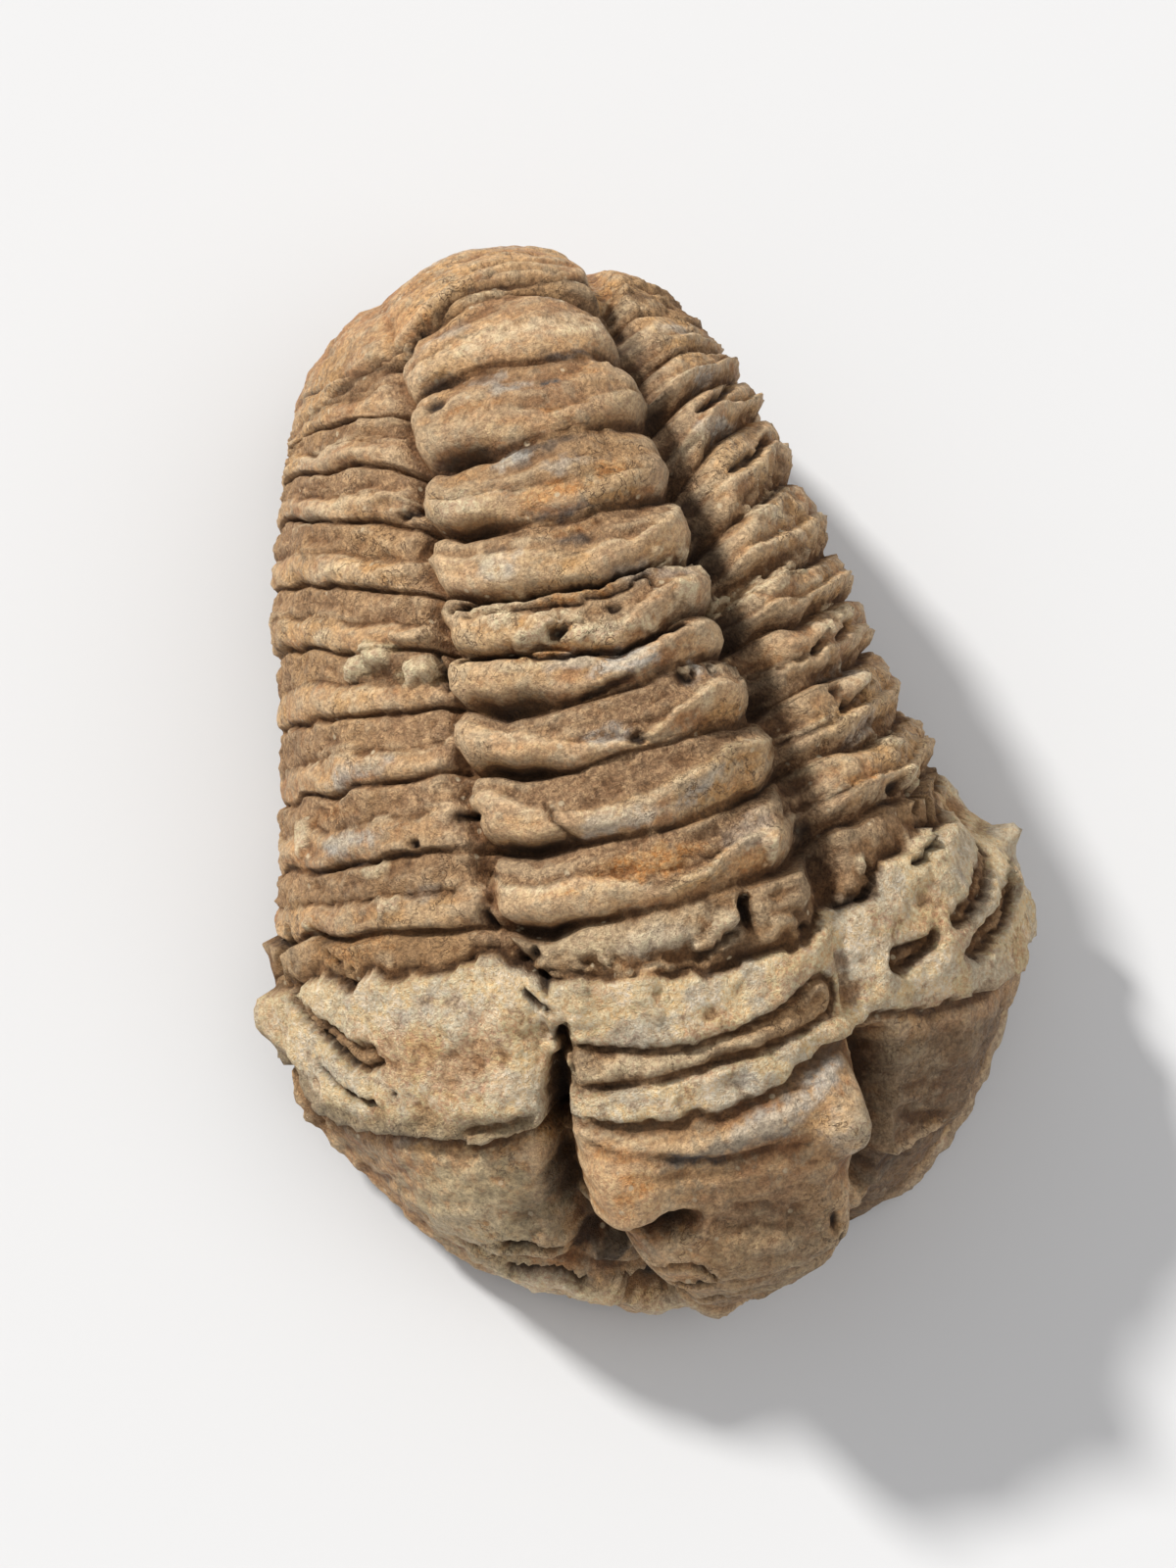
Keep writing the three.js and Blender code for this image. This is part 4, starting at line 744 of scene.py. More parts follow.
class Skin:
    """The back of the fossil as a grid of places, their heights and their markings."""

    # Of these marks, the fourth paints shade, near black, into furrows, cracks, pits, hollows and
    # under lips; the last says how far a place stands above or below the mean height round it.
    MARKS = ("shell", "sheet", "grit", "hollow", "slate", "lead", "ochre", "chalk", "moss", "stand_out")

    def __init__(self):
        self.line = self.row_lines()[:, None] + np.zeros(BACK_COLUMNS + BELLY_COLUMNS)
        self.q = self.column_places() + np.zeros(self.line.shape)
        self.noise = Lumps(11)
        self.find_places()
        self.mark = {name: np.zeros(self.line.shape) for name in self.MARKS}
        self.height = np.zeros(self.line.shape)

    @staticmethod
    def row_lines():
        """Where each row crosses the crest, closest together on the rings' steep edges."""
        marks = FURROWS[:, 0]
        head = np.linspace(0, marks[0], HEAD_ROWS + 1)[1:-1]
        rings = [a + (b - a) * RING_STEPS for a, b in zip(marks, marks[1:])]
        shield = np.linspace(marks[-1], TAIL_START, SHIELD_ROWS, endpoint=False)
        tail = np.linspace(TAIL_START, LENGTH, TAIL_ROWS, endpoint=False)
        return np.concatenate([head, *rings, shield, tail])

    @staticmethod
    def column_places():
        """q for each column, from the +X margin over the back to -X and under the belly."""
        c = np.linspace(1, -1, BACK_COLUMNS, endpoint=False)
        back = np.sign(c) * np.abs(c) ** CREST_GATHER
        belly = np.linspace(3, 1, BELLY_COLUMNS, endpoint=False)
        return np.concatenate([back, belly])

    def find_places(self):
        """Finds s, t, ring and phase for every place; lines sweep back and wander a little."""
        line = self.line
        on_back = np.where(self.q > 2, -1, np.clip(self.q, -1, 1))
        s = line.copy()
        for _ in range(4):
            u = np.interp(s, CREST, TABLE_U)
            t = across_at(u, on_back)
            wander = 0.5 * self.streaks("wander", line / 4.5, t / 5.0, 3)
            wander *= within(line, 37, 3, 92, 6)
            s = line + sweep(line, t) + wander
        self.s, self.t = s, t
        self.u = np.interp(s, CREST, TABLE_U)
        self.margin = np.abs(across_at(self.u, np.where(on_back < 0, -1.0, 1.0))) - np.abs(t)
        self.flat = np.stack([s, t, 0 * t], -1)
        marks = FURROWS[:, 0]
        self.ring = np.clip(np.searchsorted(marks, line, side="right") - 1, 0, len(marks) - 2)
        self.phase = (line - marks[self.ring]) / (marks[self.ring + 1] - marks[self.ring])
        ringed = (line >= marks[0]) & (line <= marks[-1])
        self.fade = within(line, 38.6, 1.2, 90, 3) * ringed

    def raise_mark(self, name, amount, where=...):
        """Marks places with `name`, wherever they aren't already marked more strongly."""
        self.mark[name][where] = np.maximum(self.mark[name][where], amount)

    def lumps(self, pattern, size, octaves=3):
        """Noise over the skin, with its widest lumps `size` millimetres apart."""
        return self.noise.rough(self.flat + PATTERN[pattern], size, octaves)

    def streaks(self, pattern, x, y, octaves=2):
        """Noise drawn out one way: x and y are counted in lumps, not in millimetres."""
        level = np.full(x.shape, float(PATTERN[pattern]))
        return self.noise.rough(np.stack([x, y, level], -1), 1.0, octaves)

    # ---- the animal's own form

    def middle_lobe(self):
        """The arch of the middle lobe and the two grooves beside it, with dust and painted shade."""
        s, t = self.s, self.t
        wobble = 0.3 * self.streaks("groove", s / 2.2, np.sign(t))
        left = along(AXIS_GROOVES, s, 1) + wobble
        right = along(AXIS_GROOVES, s, 2) + wobble
        x = (t - (left + right) / 2) / ((right - left) / 2)
        relief = (along(AXIS_RELIEF, s, n) for n in range(1, 7))
        rise, square, left_depth, left_width, right_depth, right_width = relief
        narrowing = self.fade * np.abs(2 * self.phase - 1) ** RING_ROUNDNESS
        x *= 1 + narrowing * np.where(x > 0, RING_ENDS[1], RING_ENDS[0])
        self.plus_end = smooth((x - 0.6) / 0.4)
        square = square * (1 + 1.2 * self.fade * smooth(x * 2))
        dome = rise * np.maximum(0, 1 - x * x) ** square
        uneven = 1 + 0.5 * self.streaks("groove depth", s / 1.6, np.sign(t) * 4)
        minus_groove = left_depth * uneven * bell((t - left) / left_width)
        beyond = (t - right) / right_width
        plus_groove = right_depth * mix(bell(beyond ** 2), bell(beyond / 1.15), self.fade)
        self.height += dome - minus_groove - plus_groove
        self.on_axis = smooth((1.1 - np.abs(x)) * mix(8, 4, smooth(x * 2)))
        along_body = within(s, 38, 2, 90, 4)
        self.raise_mark("grit", along_body * bell((t - left + 1) / 1.8))
        self.raise_mark("grit", along_body * bell(((t - right - 0.3) / 2.2) ** 2))
        # Painted shade down the +X groove, which lies in the shadow of the middle lobe.
        self.raise_mark("hollow", 0.6 * along_body * uneven * bell(((t - right - 0.4) / 1.3) ** 2))
        # Dust and painted shade on the +X ends of the rings, which turn away from the light.
        ring_end_dust_and_shade = along_body * within(x, 0.68, 0.25, 1.2, 0.15)
        self.raise_mark("grit", 0.6 * ring_end_dust_and_shade)
        self.raise_mark("hollow", 0.35 * ring_end_dust_and_shade)
        self.trench = along_body * bell(((t - right - 0.5) / 2.4) ** 2)
        self.trench += 0.6 * along_body * bell((t - left + 0.5) / 1.4)

    def across_ring(self, pattern, spread):
        """Noise that runs along each ring or rib by itself."""
        return self.streaks(pattern, self.ring * RING_APART, self.t / spread)

    def rings_and_ribs(self):
        """The body's rings and ribs, their torn edges, the shell and dust on them, painted
        highlights on the torn lips and painted shade in the furrows.
        """
        t, ring, phase, fade = self.t, self.ring, self.phase, self.fade
        torn = np.stack([np.interp(t, LEDGE_ACROSS, row) for row in LEDGE_AT])
        torn = np.take_along_axis(torn, ring[None], 0)[0]
        edge = mix(LEDGE, torn, self.on_axis)
        edge += 0.07 * self.across_ring("ledge", 2.4)
        edge += 0.025 * self.across_ring("ledge fringe", 0.7)
        edge = np.clip(edge, 0.15, 0.9)
        p = np.where(phase < edge, phase / edge * LEDGE,
                     LEDGE + (phase - edge) / (1 - edge) * (1 - LEDGE))

        towards_plus = smooth((t + 1) / 5)
        ring_height = mix(along(RING_PROFILE, p, 1), along(RING_PROFILE, p, 2), towards_plus)
        whole = SHELL_BEHIND[ring]
        rounded = mix(-1.0, 0.5, within(p, 0, 0.2, 1, 0.35))
        ring_height = mix(ring_height, rounded, whole)
        ring_height *= np.where(ring_height > 0, 1 - 0.6 * self.plus_end, 1)
        rib_height = np.where(t < 0, along(RIB_PROFILE, p, 1), along(RIB_PROFILE, p, 2))
        shape = mix(rib_height, ring_height, self.on_axis)
        strength = 1 + 0.35 * self.across_ring("ring strength", 5)
        depth = 1 + 0.4 * self.across_ring("furrow depth", 2.2)
        shallow = 0.65 * bell(((t - 0.5) / 4.5) ** 2) * self.on_axis
        shape *= np.where(shape > 0, strength, np.clip(depth - shallow, 0.2, 1.6))
        shape *= mix(1.0, 0.6, smooth((-26 - t) / 8)) * mix(1.0, 0.45, smooth((self.line - 78) / 4))
        self.height += fade * shape
        drop = np.where(t > 0, 0.25, mix(1.0, 0.3, smooth((self.s - 54) / 8)))
        self.height -= fade * drop * smooth((np.abs(t) - 20) / 10)
        torn_tips = self.lumps("torn tips", 1.6)
        self.height += 0.35 * torn_tips * fade * smooth((t - 14) / 5) * smooth((80 - self.s) / 6)

        shell = within(p, 0.06, 0.06, 0.53, 0.05)
        shell = np.maximum(shell, whole * within(p, 0.5, 0.06, 1, 0.08))
        rib_minus = 0.8 * smooth((p - 0.05) / 0.06) * mix(1.0, 0.35, smooth((p - 0.4) / 0.1))
        rib_plus = 0.8 * within(p, 0.2, 0.12, 0.95, 0.04)
        beside = np.where(t < 0, rib_minus, rib_plus)
        self.raise_mark("shell", fade * mix(beside, shell, self.on_axis))
        dust = within(p, 0.5, 0.04, 1, 0.04)
        patchy = np.clip(0.55 + 0.5 * self.across_ring("dust", 4), 0, 1)
        dust_beside = np.where(t < 0, patchy * dust, 0.7 * smooth((0.24 - p) / 0.08))
        self.raise_mark("grit", fade * mix(dust_beside, dust * (1 - whole), self.on_axis))
        # Pale torn lips along the ledges: partly the broken shell's own paler colour, partly a
        # painted highlight where the ledge faces the light.
        pale_lit_lip = np.clip(0.5 + 0.6 * self.across_ring("torn lip", 1.6), 0, 1)
        pale_lit_lip *= bell((p - 0.46) / 0.03)
        self.raise_mark("chalk", 0.8 * fade * (1 - 0.7 * whole) * pale_lit_lip)
        # Painted shade along the furrows between rings and ribs, weaker down the middle of the body.
        furrow = np.maximum(smooth((0.06 - p) / 0.05), smooth((p - 0.96) / 0.03))
        painted_furrow_shade = np.where(t < -12, 0.3, 0.45) - 0.5 * shallow
        painted_furrow_shade = np.clip(painted_furrow_shade + 0.5 * self.across_ring("furrow shade", 2.5), 0, 0.9)
        self.raise_mark("hollow", painted_furrow_shade * fade * furrow)

    def pockets(self):
        """Deep shade under the front edges of the rings."""
        for furrow, middle, half, depth in POCKETS:
            cut = bell((self.line - furrow - 0.4) / 0.6) * bell(((self.t - middle) / half) ** 2)
            self.height -= depth * cut
            # Painted shade in each pocket.
            self.raise_mark("hollow", 0.8 * cut)

    def head_form(self):
        """Swellings, bands, rims and colours of the head, with painted shade on the parts turned
        from the light.
        """
        s, t = self.s, self.t
        for ls, lt, half_s, half_t, rise, firm in LOBES:
            self.height += rise * bell(np.hypot((s - ls) / half_s, (t - lt) / half_t) ** firm)
        for crest, bow, width, rise, reach in BANDS:
            fade = smooth((reach + 1 - np.abs(t)) / 2)
            self.height += fade * rise * bell((s - crest - bow * t * t) / width)
        in_head = within(s, 10, 4, RIM_END, 3)
        beside = (t > 0) * within(s, 10, 4, 31, 4)
        for at, width, rise in (RIM_PLUS, RIM_GROOVE):
            self.height += beside * rise * bell((self.margin - at) / width)
        at, width, rise = RIM_MINUS
        self.height += (t < 0) * in_head * rise * bell((self.margin - at) / width)
        before = s - along(FRONT_RIM, t)
        reach = within(t, -24, 3, 7, 3)
        self.height += reach * (0.5 * bell(before / 1.2) - 0.9 * bell((before - 2.2) / 0.6))
        self.raise_mark("sheet", 0.7 * reach * smooth((1.4 - before) / 0.8))
        self.raise_mark("shell", 0.9 * smooth((30 - s) / 2))
        mottled = np.clip(0.55 + 0.6 * self.lumps("mottled", 1.8), 0, 1)
        self.raise_mark("grit", mottled * smooth((t - 13) / 2) * smooth((30 - s) / 2))
        # Dust and painted shade over the middle band of the glabella, whose front turns away from
        # the light.
        dust_and_shade_band = within(t, -4, 4, 9, 3)
        self.raise_mark("grit", 0.7 * dust_and_shade_band * smooth((22 - s) / 3))
        self.raise_mark("hollow", 0.3 * dust_and_shade_band * within(s, 3, 4, 21, 3))
        # Painted shade over the +X cheek, which faces away from the light.
        self.raise_mark("hollow", 0.55 * smooth((t - 12) / 2) * smooth((28 - s) / 2))
        self.raise_mark("hollow", 0.2 * dust_and_shade_band * bell(((s - 19.5) / 4) ** 2))
        # Painted shade is lifted off the +X rim and laid in the groove inside it.
        self.mark["hollow"] *= 1 - 0.7 * beside * smooth((2.2 - self.margin) / 0.6)
        self.raise_mark("sheet", 0.6 * beside * smooth((1.9 - self.margin) / 0.4))
        self.raise_mark("hollow", 0.7 * beside * bell((self.margin - 2.5) / 0.35))

    # ---- what breakage and rock have added

    def ragged(self, damage):
        """s and t pushed about a little, so that broken edges run unevenly."""
        amount, size = RAGGED[damage]
        ds = amount * self.lumps("ragged s", size)
        dt = amount * self.lumps("ragged t", size)
        return self.s + ds, self.t + dt

    def head_sheet(self):
        """The paler sheet of stone over the back of the head, with a lip all round."""
        s, t = self.ragged("sheet")
        behind = along(SHEET_REAR, t) - s
        ahead = s - along(SHEET_FRONT, t)
        sheet = smooth(behind / SHEET_LIP + 0.5) * smooth(ahead / SHEET_LIP + 0.5)
        facets = self.lumps("facets", 2.2)
        lumps = 0.25 * self.lumps("lumps", 3.5) + 0.22 * np.abs(facets)
        under_lip = bell((np.minimum(behind, ahead) + 0.4) / 0.35) * (1 - sheet)
        thickness = SHEET_HEIGHT * mix(0.5, 1.0, smooth(self.margin / 5))
        thickness *= mix(0.45, 1.0, np.clip(smooth(ahead / 3) + smooth((np.abs(t) - 10) / 2), 0, 1))
        self.height += sheet * (thickness + lumps) - 0.4 * under_lip
        self.mark["shell"] *= 1 - sheet
        cheek = smooth((-11 - t) / 2)
        self.height -= 0.6 * cheek * bell((ahead + 0.6) / 0.6) * (1 - sheet)
        thick_edge = bell((ahead - 0.7) / 0.9) * cheek
        self.raise_mark("sheet", sheet * (1 - 0.85 * thick_edge))
        self.raise_mark("shell", 0.6 * sheet * thick_edge)
        self.raise_mark("moss", 0.7 * sheet * thick_edge)
        # Painted shade on the sheet's thick front edge, which faces away from the light.
        self.raise_mark("hollow", 0.35 * sheet * thick_edge)
        # Painted shadow under the sheet's lip.
        self.raise_mark("hollow", 0.6 * under_lip)

    def tail_shield(self):
        """The smooth shield that laps over the last rings."""
        s, t = self.ragged("shield")
        behind = s - along(SHIELD_FRONT, t)
        rise = along(SHIELD_HEIGHT, t)
        shield = smooth(behind / 0.5 + 0.5)
        under_lip = rise * bell((behind + 0.4) / 0.35)
        self.height += shield * rise - 0.2 * under_lip
        # Painted shadow under the shield's lip.
        self.raise_mark("hollow", 0.8 * under_lip)
        self.raise_mark("shell", 0.9 * shield)
        self.mark["grit"] *= 1 - shield

    def flakes(self):
        """Chips of shell that still stand on the surface."""
        s, t = self.ragged("flakes")
        for fs, ft, half_s, half_t, rise in FLAKES:
            inside = 1 - np.maximum(np.abs(s - fs) / half_s, np.abs(t - ft) / half_t)
            flake = smooth(inside * min(half_s, half_t) / 0.3 + 0.5)
            self.height += rise * flake
            self.raise_mark("chalk", 0.85 * flake)
            # No painted shade on the flakes.
            self.mark["hollow"] *= 1 - flake

    def steps(self):
        """Ledges where a layer has broken away behind a torn line."""
        s, t = self.ragged("steps")
        for rise, reach, path in STEPS:
            path = np.array(path)
            ends = np.minimum(t - path[0, 0], path[-1, 0] - t)
            before = np.interp(t, path[:, 0], path[:, 1]) - s
            block = smooth(before / 0.25 + 0.5) * np.exp(-np.maximum(before, 0) / reach)
            block = block * smooth(ends / 1.2)
            self.height += rise * block
            self.raise_mark("chalk", 0.3 * block * (before < 0.6))

    def openings(self, damage, outlines, margin):
        """For each outline: its two measures, the places near it, and how far inside they are."""
        s, t = self.ragged(damage)
        for first, second, outline in outlines:
            near = near_places(s, t, outline, margin)
            yield first, second, near, outline_depth(s[near], t[near], outline)

    def lines(self, damage, paths):
        """For each path: its height, the places near it, and for each of those how many widths
        off the path it is and how fully the path has opened there."""
        s, t = self.ragged(damage)
        for width, height, path in paths:
            near = near_places(s, t, path, 4 * width + 0.5)
            distance, to_end = path_distance(s[near], t[near], path)
            yield height, near, distance / width, smooth(to_end / 0.8 + 0.25)

    def windows(self):
        """Sharp-edged openings through the sheet, with the rock showing in them."""
        for depth, swell, near, inside in self.openings("windows", WINDOWS, 1.0):
            cut = smooth(inside / 0.45 + 0.4)
            floor = -depth + swell * smooth((inside - 0.25) / 0.6)
            self.height[near] += cut * floor
            # Painted shade along the inside of the window's edge, darker the deeper the window.
            shade = np.clip(depth - 0.4, 0, 0.9)
            self.raise_mark("hollow", shade * cut * smooth((0.55 - inside) / 0.35), near)
            self.mark["sheet"][near] *= 1 - cut
            self.raise_mark("grit", 0.2 * cut, near)

    def hollows(self):
        """Deep places that shade to black."""
        for depth, slope, near, inside in self.openings("hollows", HOLLOWS, 2.0):
            cut = smooth(inside / slope + 0.35)
            self.height[near] -= depth * cut
            # Painted shade, deepening to near black towards the middle.
            self.raise_mark("hollow", 0.95 * smooth(inside / slope / 1.1), near)
            self.mark["sheet"][near] *= 1 - cut

    def cracks(self):
        """Narrow splits, deepest along the middle and closing at both ends."""
        for depth, near, off, opened in self.lines("cracks", CRACKS):
            cut = bell(off ** 2) * opened
            self.height[near] -= depth * cut
            # Painted shade down each crack, darker the deeper it is, up to 1 mm.
            self.raise_mark("hollow", cut * min(depth, 1), near)

    def ridges(self):
        """Thin slivers that stand up along a path."""
        for rise, near, off, opened in self.lines("ridges", RIDGES):
            crest = bell(off) * opened
            self.height[near] += rise * crest
            # No painted shade on the ridges.
            self.mark["hollow"][near] *= 1 - crest
            self.raise_mark("shell", 0.8 * crest, near)

    def pits(self):
        """Small rounded pits."""
        s, t = self.ragged("pits")
        for ps, pt, half_s, half_t, depth in PITS:
            cut = bell(np.hypot((s - ps) / half_s, (t - pt) / half_t) ** 2)
            self.height -= depth * cut
            # Painted shade in each pit.
            self.raise_mark("hollow", cut)

    def rock_lumps(self):
        """The stone's own unevenness: broad lumps, scratches, thin layers and grain."""
        line, t = self.line, self.t
        shell, sheet, grit = self.mark["shell"], self.mark["sheet"], self.mark["grit"]
        rough = np.maximum(grit, 1 - np.maximum(shell, sheet))
        broad = BROAD_LUMPS * self.lumps("lumps", 7, 2)
        scratches = SCRATCHES * self.streaks("grain", line / 0.9, t / 3.2)
        leaves = self.streaks("leaves", line / 0.9, t / 2.8, 3)
        leaves = mix(leaves, self.lumps("leaves", 3.0), sheet)
        layers = sum(smooth((leaves - level) / 0.15) for level in (-0.5, -0.1, 0.3, 0.7)) - 2
        grain = self.lumps("grain", 0.8, 2)
        layer = mix(mix(LAYERS_ON_SHELL, LAYERS_ON_ROCK, rough), LAYERS_ON_SHEET, sheet)
        self.height += broad + scratches + layers * layer
        grain_height = mix(GRAIN_ON_SHELL, GRAIN_ON_ROCK, rough)
        self.height += grain * grain_height * mix(1.0, GRAIN_LEFT_ON_SHEET, sheet)
        self.height += RUBBLE_IN_GROOVES * self.trench * self.lumps("trench", 1.3)

    def paint(self):
        """Marks the patches of colour, with frayed edges."""
        s, t = self.ragged("paint")
        frayed = 0.35 * self.lumps("frayed", 0.7, 2)
        for kind, patches in PATCHES.items():
            for amount, ps, pt, half_s, half_t, *lean in patches:
                moved = sum(lean) * (t - pt)
                radius = np.hypot((s - ps - moved) / half_s, (t - pt) / half_t)
                self.raise_mark(kind, amount * smooth((1.2 - radius + frayed) / 0.5))

    def stand_out(self):
        """Marks what stands out from its surroundings (above 0.5) and what lies low (below)."""
        edge = np.clip((self.height - blurred(self.height, EDGE_REACH)) / EDGE_FULL, -1, 1)
        rise = np.clip((self.height - blurred(self.height, RISE_REACH)) / RISE_FULL, -1, 1)
        self.mark["stand_out"] = 0.5 + 0.2 * edge + 0.3 * rise

    def settle(self):
        """Fades the relief out at the snout, the tail and under the belly."""
        self.height *= within(self.line, 0, 2, LENGTH, 4)
        under = np.clip(np.minimum(self.q - 1, 3 - self.q), 0, None)
        self.height *= np.where(self.q <= 1, 1, smooth(1 - under / 0.5))
        for name in ("shell", "sheet", "slate", "lead", "ochre", "chalk", "moss"):
            self.mark[name] *= np.where(self.q <= 1, 1, smooth(1 - under / 0.15))

    def build(self):
        """Runs each step in turn and returns where every place of the grid ends up."""
        self.middle_lobe()
        self.rings_and_ribs()
        self.pockets()
        self.head_form()
        self.head_sheet()
        self.tail_shield()
        self.steps()
        self.windows()
        self.hollows()
        self.ridges()
        self.cracks()
        self.pits()
        self.flakes()
        self.rock_lumps()
        self.paint()
        self.stand_out()
        self.settle()
        points = body_point(self.u, self.q) + body_normal(self.u, self.q) * self.height[..., None]
        under = smooth(np.minimum(self.q - 1, 3 - self.q) / 0.3) * (self.q > 1)
        points[..., 2] += under * 0.35 * np.maximum(self.noise.rough(points, 4.0, 4), 0)
        points[..., 2] = np.maximum(points[..., 2], 0)
        return points


# ---------------------------------------------------------------- the mesh


def grid_place(co, rows, columns):
    """The row and column of the grid that each vertex of the unit sphere stands for."""
    row = np.rint(np.arccos(np.clip(co[:, 2], -1, 1)) / math.pi * (rows + 1)).astype(int) - 1
    column = np.rint(np.arctan2(co[:, 1], co[:, 0]) / math.tau * columns).astype(int) % columns
    return row, column


def unwrap(mesh, row, column, rows, columns):
    """A UV map in which the skin's grid is a rectangle, cut along one margin."""
    corners = len(mesh.loops)
    vertex = np.zeros(corners, int)
    mesh.loops.foreach_get("vertex_index", vertex)
    start = np.zeros(len(mesh.polygons), int)
    mesh.polygons.foreach_get("loop_start", start)
    across = column[vertex].astype(float)
    pole = (row[vertex] < 0) | (row[vertex] >= rows)
    seam = np.maximum.reduceat(np.where(pole, 0, across), start) > columns * 0.75
    size = np.diff(np.append(start, corners))
    across += columns * ((across < columns * 0.25) & np.repeat(seam, size) & ~pole)
    total = np.add.reduceat(np.where(pole, 0, across), start)
    middle = total / np.add.reduceat((~pole).astype(int), start)
    across = np.where(pole, np.repeat(middle, size), across)
    uv = np.stack([across / columns, (row[vertex] + 1) / (rows + 1)], -1)
    mesh.uv_layers.new(name="OFBake").data.foreach_set("uv", uv.ravel())


def halve_along_slopes(mesh):
    """Cuts each four-sided face along its shorter diagonal, which follows slanting edges best."""
    bm = bmesh.new()
    bm.from_mesh(mesh)
    bmesh.ops.triangulate(bm, faces=bm.faces, quad_method="SHORT_EDGE")
    bm.to_mesh(mesh)
    bm.free()


def model_fossil():
    """The fossil as one closed skin, and how far it was moved to lie over its plain solid."""
    skin = Skin()
    points = skin.build()
    rows, columns = skin.line.shape
    bm = bmesh.new()
    bmesh.ops.create_uvsphere(bm, u_segments=columns, v_segments=rows + 1, radius=1)
    mesh = bpy.data.meshes.new("trilobite")
    bm.to_mesh(mesh)
    bm.free()

    co = np.zeros(len(mesh.vertices) * 3)
    mesh.vertices.foreach_get("co", co)
    row, column = grid_place(co.reshape(-1, 3), rows, columns)
    inner = np.clip(row, 0, rows - 1)
    place = points[inner, column]
    place[row < 0] = body_point(np.array(0.0), np.array(0.0))
    place[row >= rows] = body_point(np.array(1.0), np.array(0.0))
    low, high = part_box(NODE)
    shift = (np.array(low) + np.array(high)) / 2 / MM - (place.min(0) + place.max(0)) / 2
    shift[2] = 0
    mesh.vertices.foreach_set("co", ((place + shift) * MM).ravel())
    for name, values in skin.mark.items():
        mesh.attributes.new(name, "FLOAT", "POINT").data.foreach_set("value", values[inner, column])
    unwrap(mesh, row, column, rows, columns)
    mesh.polygons.foreach_set("use_smooth", np.ones(len(mesh.polygons), bool))
    mesh.update()
    halve_along_slopes(mesh)
    fossil = bpy.data.objects.new("fossil_stone", mesh)
    bpy.context.scene.collection.objects.link(fossil)
    return fossil, Vector(shift * MM)


# ---------------------------------------------------------------- materials


class Shader:
    """Builds a material's nodes with short calls."""

    def __init__(self, name):
        self.material = bpy.data.materials.new(name)
        self.material.use_nodes = True
        self.tree = self.material.node_tree
        self.skin = self.tree.nodes["Principled BSDF"]
        self.place = self.tree.nodes.new("ShaderNodeTexCoord").outputs["Object"]

    def node(self, kind, inputs=None, **settings):
        made = self.tree.nodes.new("ShaderNode" + kind)
        for key, value in settings.items():
            setattr(made, key, value)
        for key, value in (inputs or {}).items():
            socket = made.inputs[key]
            if isinstance(value, bpy.types.NodeSocket):
                self.tree.links.new(value, socket)
            else:
                socket.default_value = value
        return made

    def noise(self, size, detail=4, rough=0.55, twist=0.0, w=0.0):
        """Cloudy pattern with patches about `size` metres across."""
        inputs = {"Vector": self.place, "Scale": 1 / size, "Detail": detail, "Roughness": rough,
                  "Distortion": twist, "W": w}
        return self.node("TexNoise", inputs, noise_dimensions="4D").outputs["Fac"]

    def spots(self, size):
        """Distance from scattered points about `size` metres apart."""
        inputs = {"Vector": self.place, "Scale": 1 / size}
        return self.node("TexVoronoi", inputs).outputs["Distance"]

    def step(self, value, low, high, least=0.0, most=1.0):
        inputs = {"Value": value, "From Min": low, "From Max": high, "To Min": least,
                  "To Max": most}
        return self.node("MapRange", inputs, interpolation_type="SMOOTHSTEP").outputs["Result"]

    def math(self, kind, a, b):
        return self.node("Math", {0: a, 1: b}, operation=kind).outputs[0]

    def attribute(self, name):
        return self.node("Attribute", attribute_name=name).outputs["Fac"]

    def blend(self, amount, under, over, kind="MIX"):
        made = self.node("Mix", data_type="RGBA", blend_type=kind)
        for key, value in (("Factor", amount), ("A", under), ("B", over)):
            sockets = [s for s in made.inputs if s.name == key]
            socket = next(s for s in sockets if s.type == ("VALUE" if key == "Factor" else "RGBA"))
            if isinstance(value, bpy.types.NodeSocket):
                self.tree.links.new(value, socket)
            elif key == "Factor":
                socket.default_value = value
            else:
                socket.default_value = (*value, 1)
        return next(s for s in made.outputs if s.type == "RGBA")

    def link(self, value, socket):
        self.tree.links.new(value, self.skin.inputs[socket])


DARK_ROCK = (0.121, 0.068, 0.035)
BROWN_ROCK = (0.260, 0.152, 0.075)
TAN_ROCK = (0.429, 0.272, 0.139)
SHELL_TAN = (0.503, 0.321, 0.166)
SHELL_RUST = (0.365, 0.197, 0.092)
SHELL_OCHRE = (0.479, 0.284, 0.112)
SHELL_GREY = (0.400, 0.315, 0.205)
DUST = (0.268, 0.165, 0.094)
DUST_PALE = (0.493, 0.330, 0.190)
SHEET_BUFF = (0.890, 0.682, 0.418)
SHEET_GREY = (0.730, 0.615, 0.460)
SHEET_PALE = (0.940, 0.755, 0.545)
SHEET_RUST = (0.618, 0.355, 0.156)
OCHRE = (0.500, 0.225, 0.068)
OCHRE_PALE = (0.560, 0.340, 0.155)
SLATE = (0.430, 0.410, 0.372)
LEAD = (0.070, 0.068, 0.070)
CHALK = (0.640, 0.515, 0.345)
MOSS = (0.440, 0.365, 0.225)
LOW_PLACE_DARKENING = (0.40, 0.29, 0.20)
# Near-black colour of the painted shade.
SHADE_DARK = (0.020, 0.011, 0.006)
GRAIN_DARK = (0.20, 0.17, 0.15)
GRAIN_PALE = (0.90, 0.86, 0.80)
PAPER = (0.60, 0.615, 0.64)
PAPER_ROUGHNESS = 0.9
STONE_SHINE = 0.3
TEXTURE_STRENGTH = 0.95
TEXTURE_DEPTH = 0.36 * MM


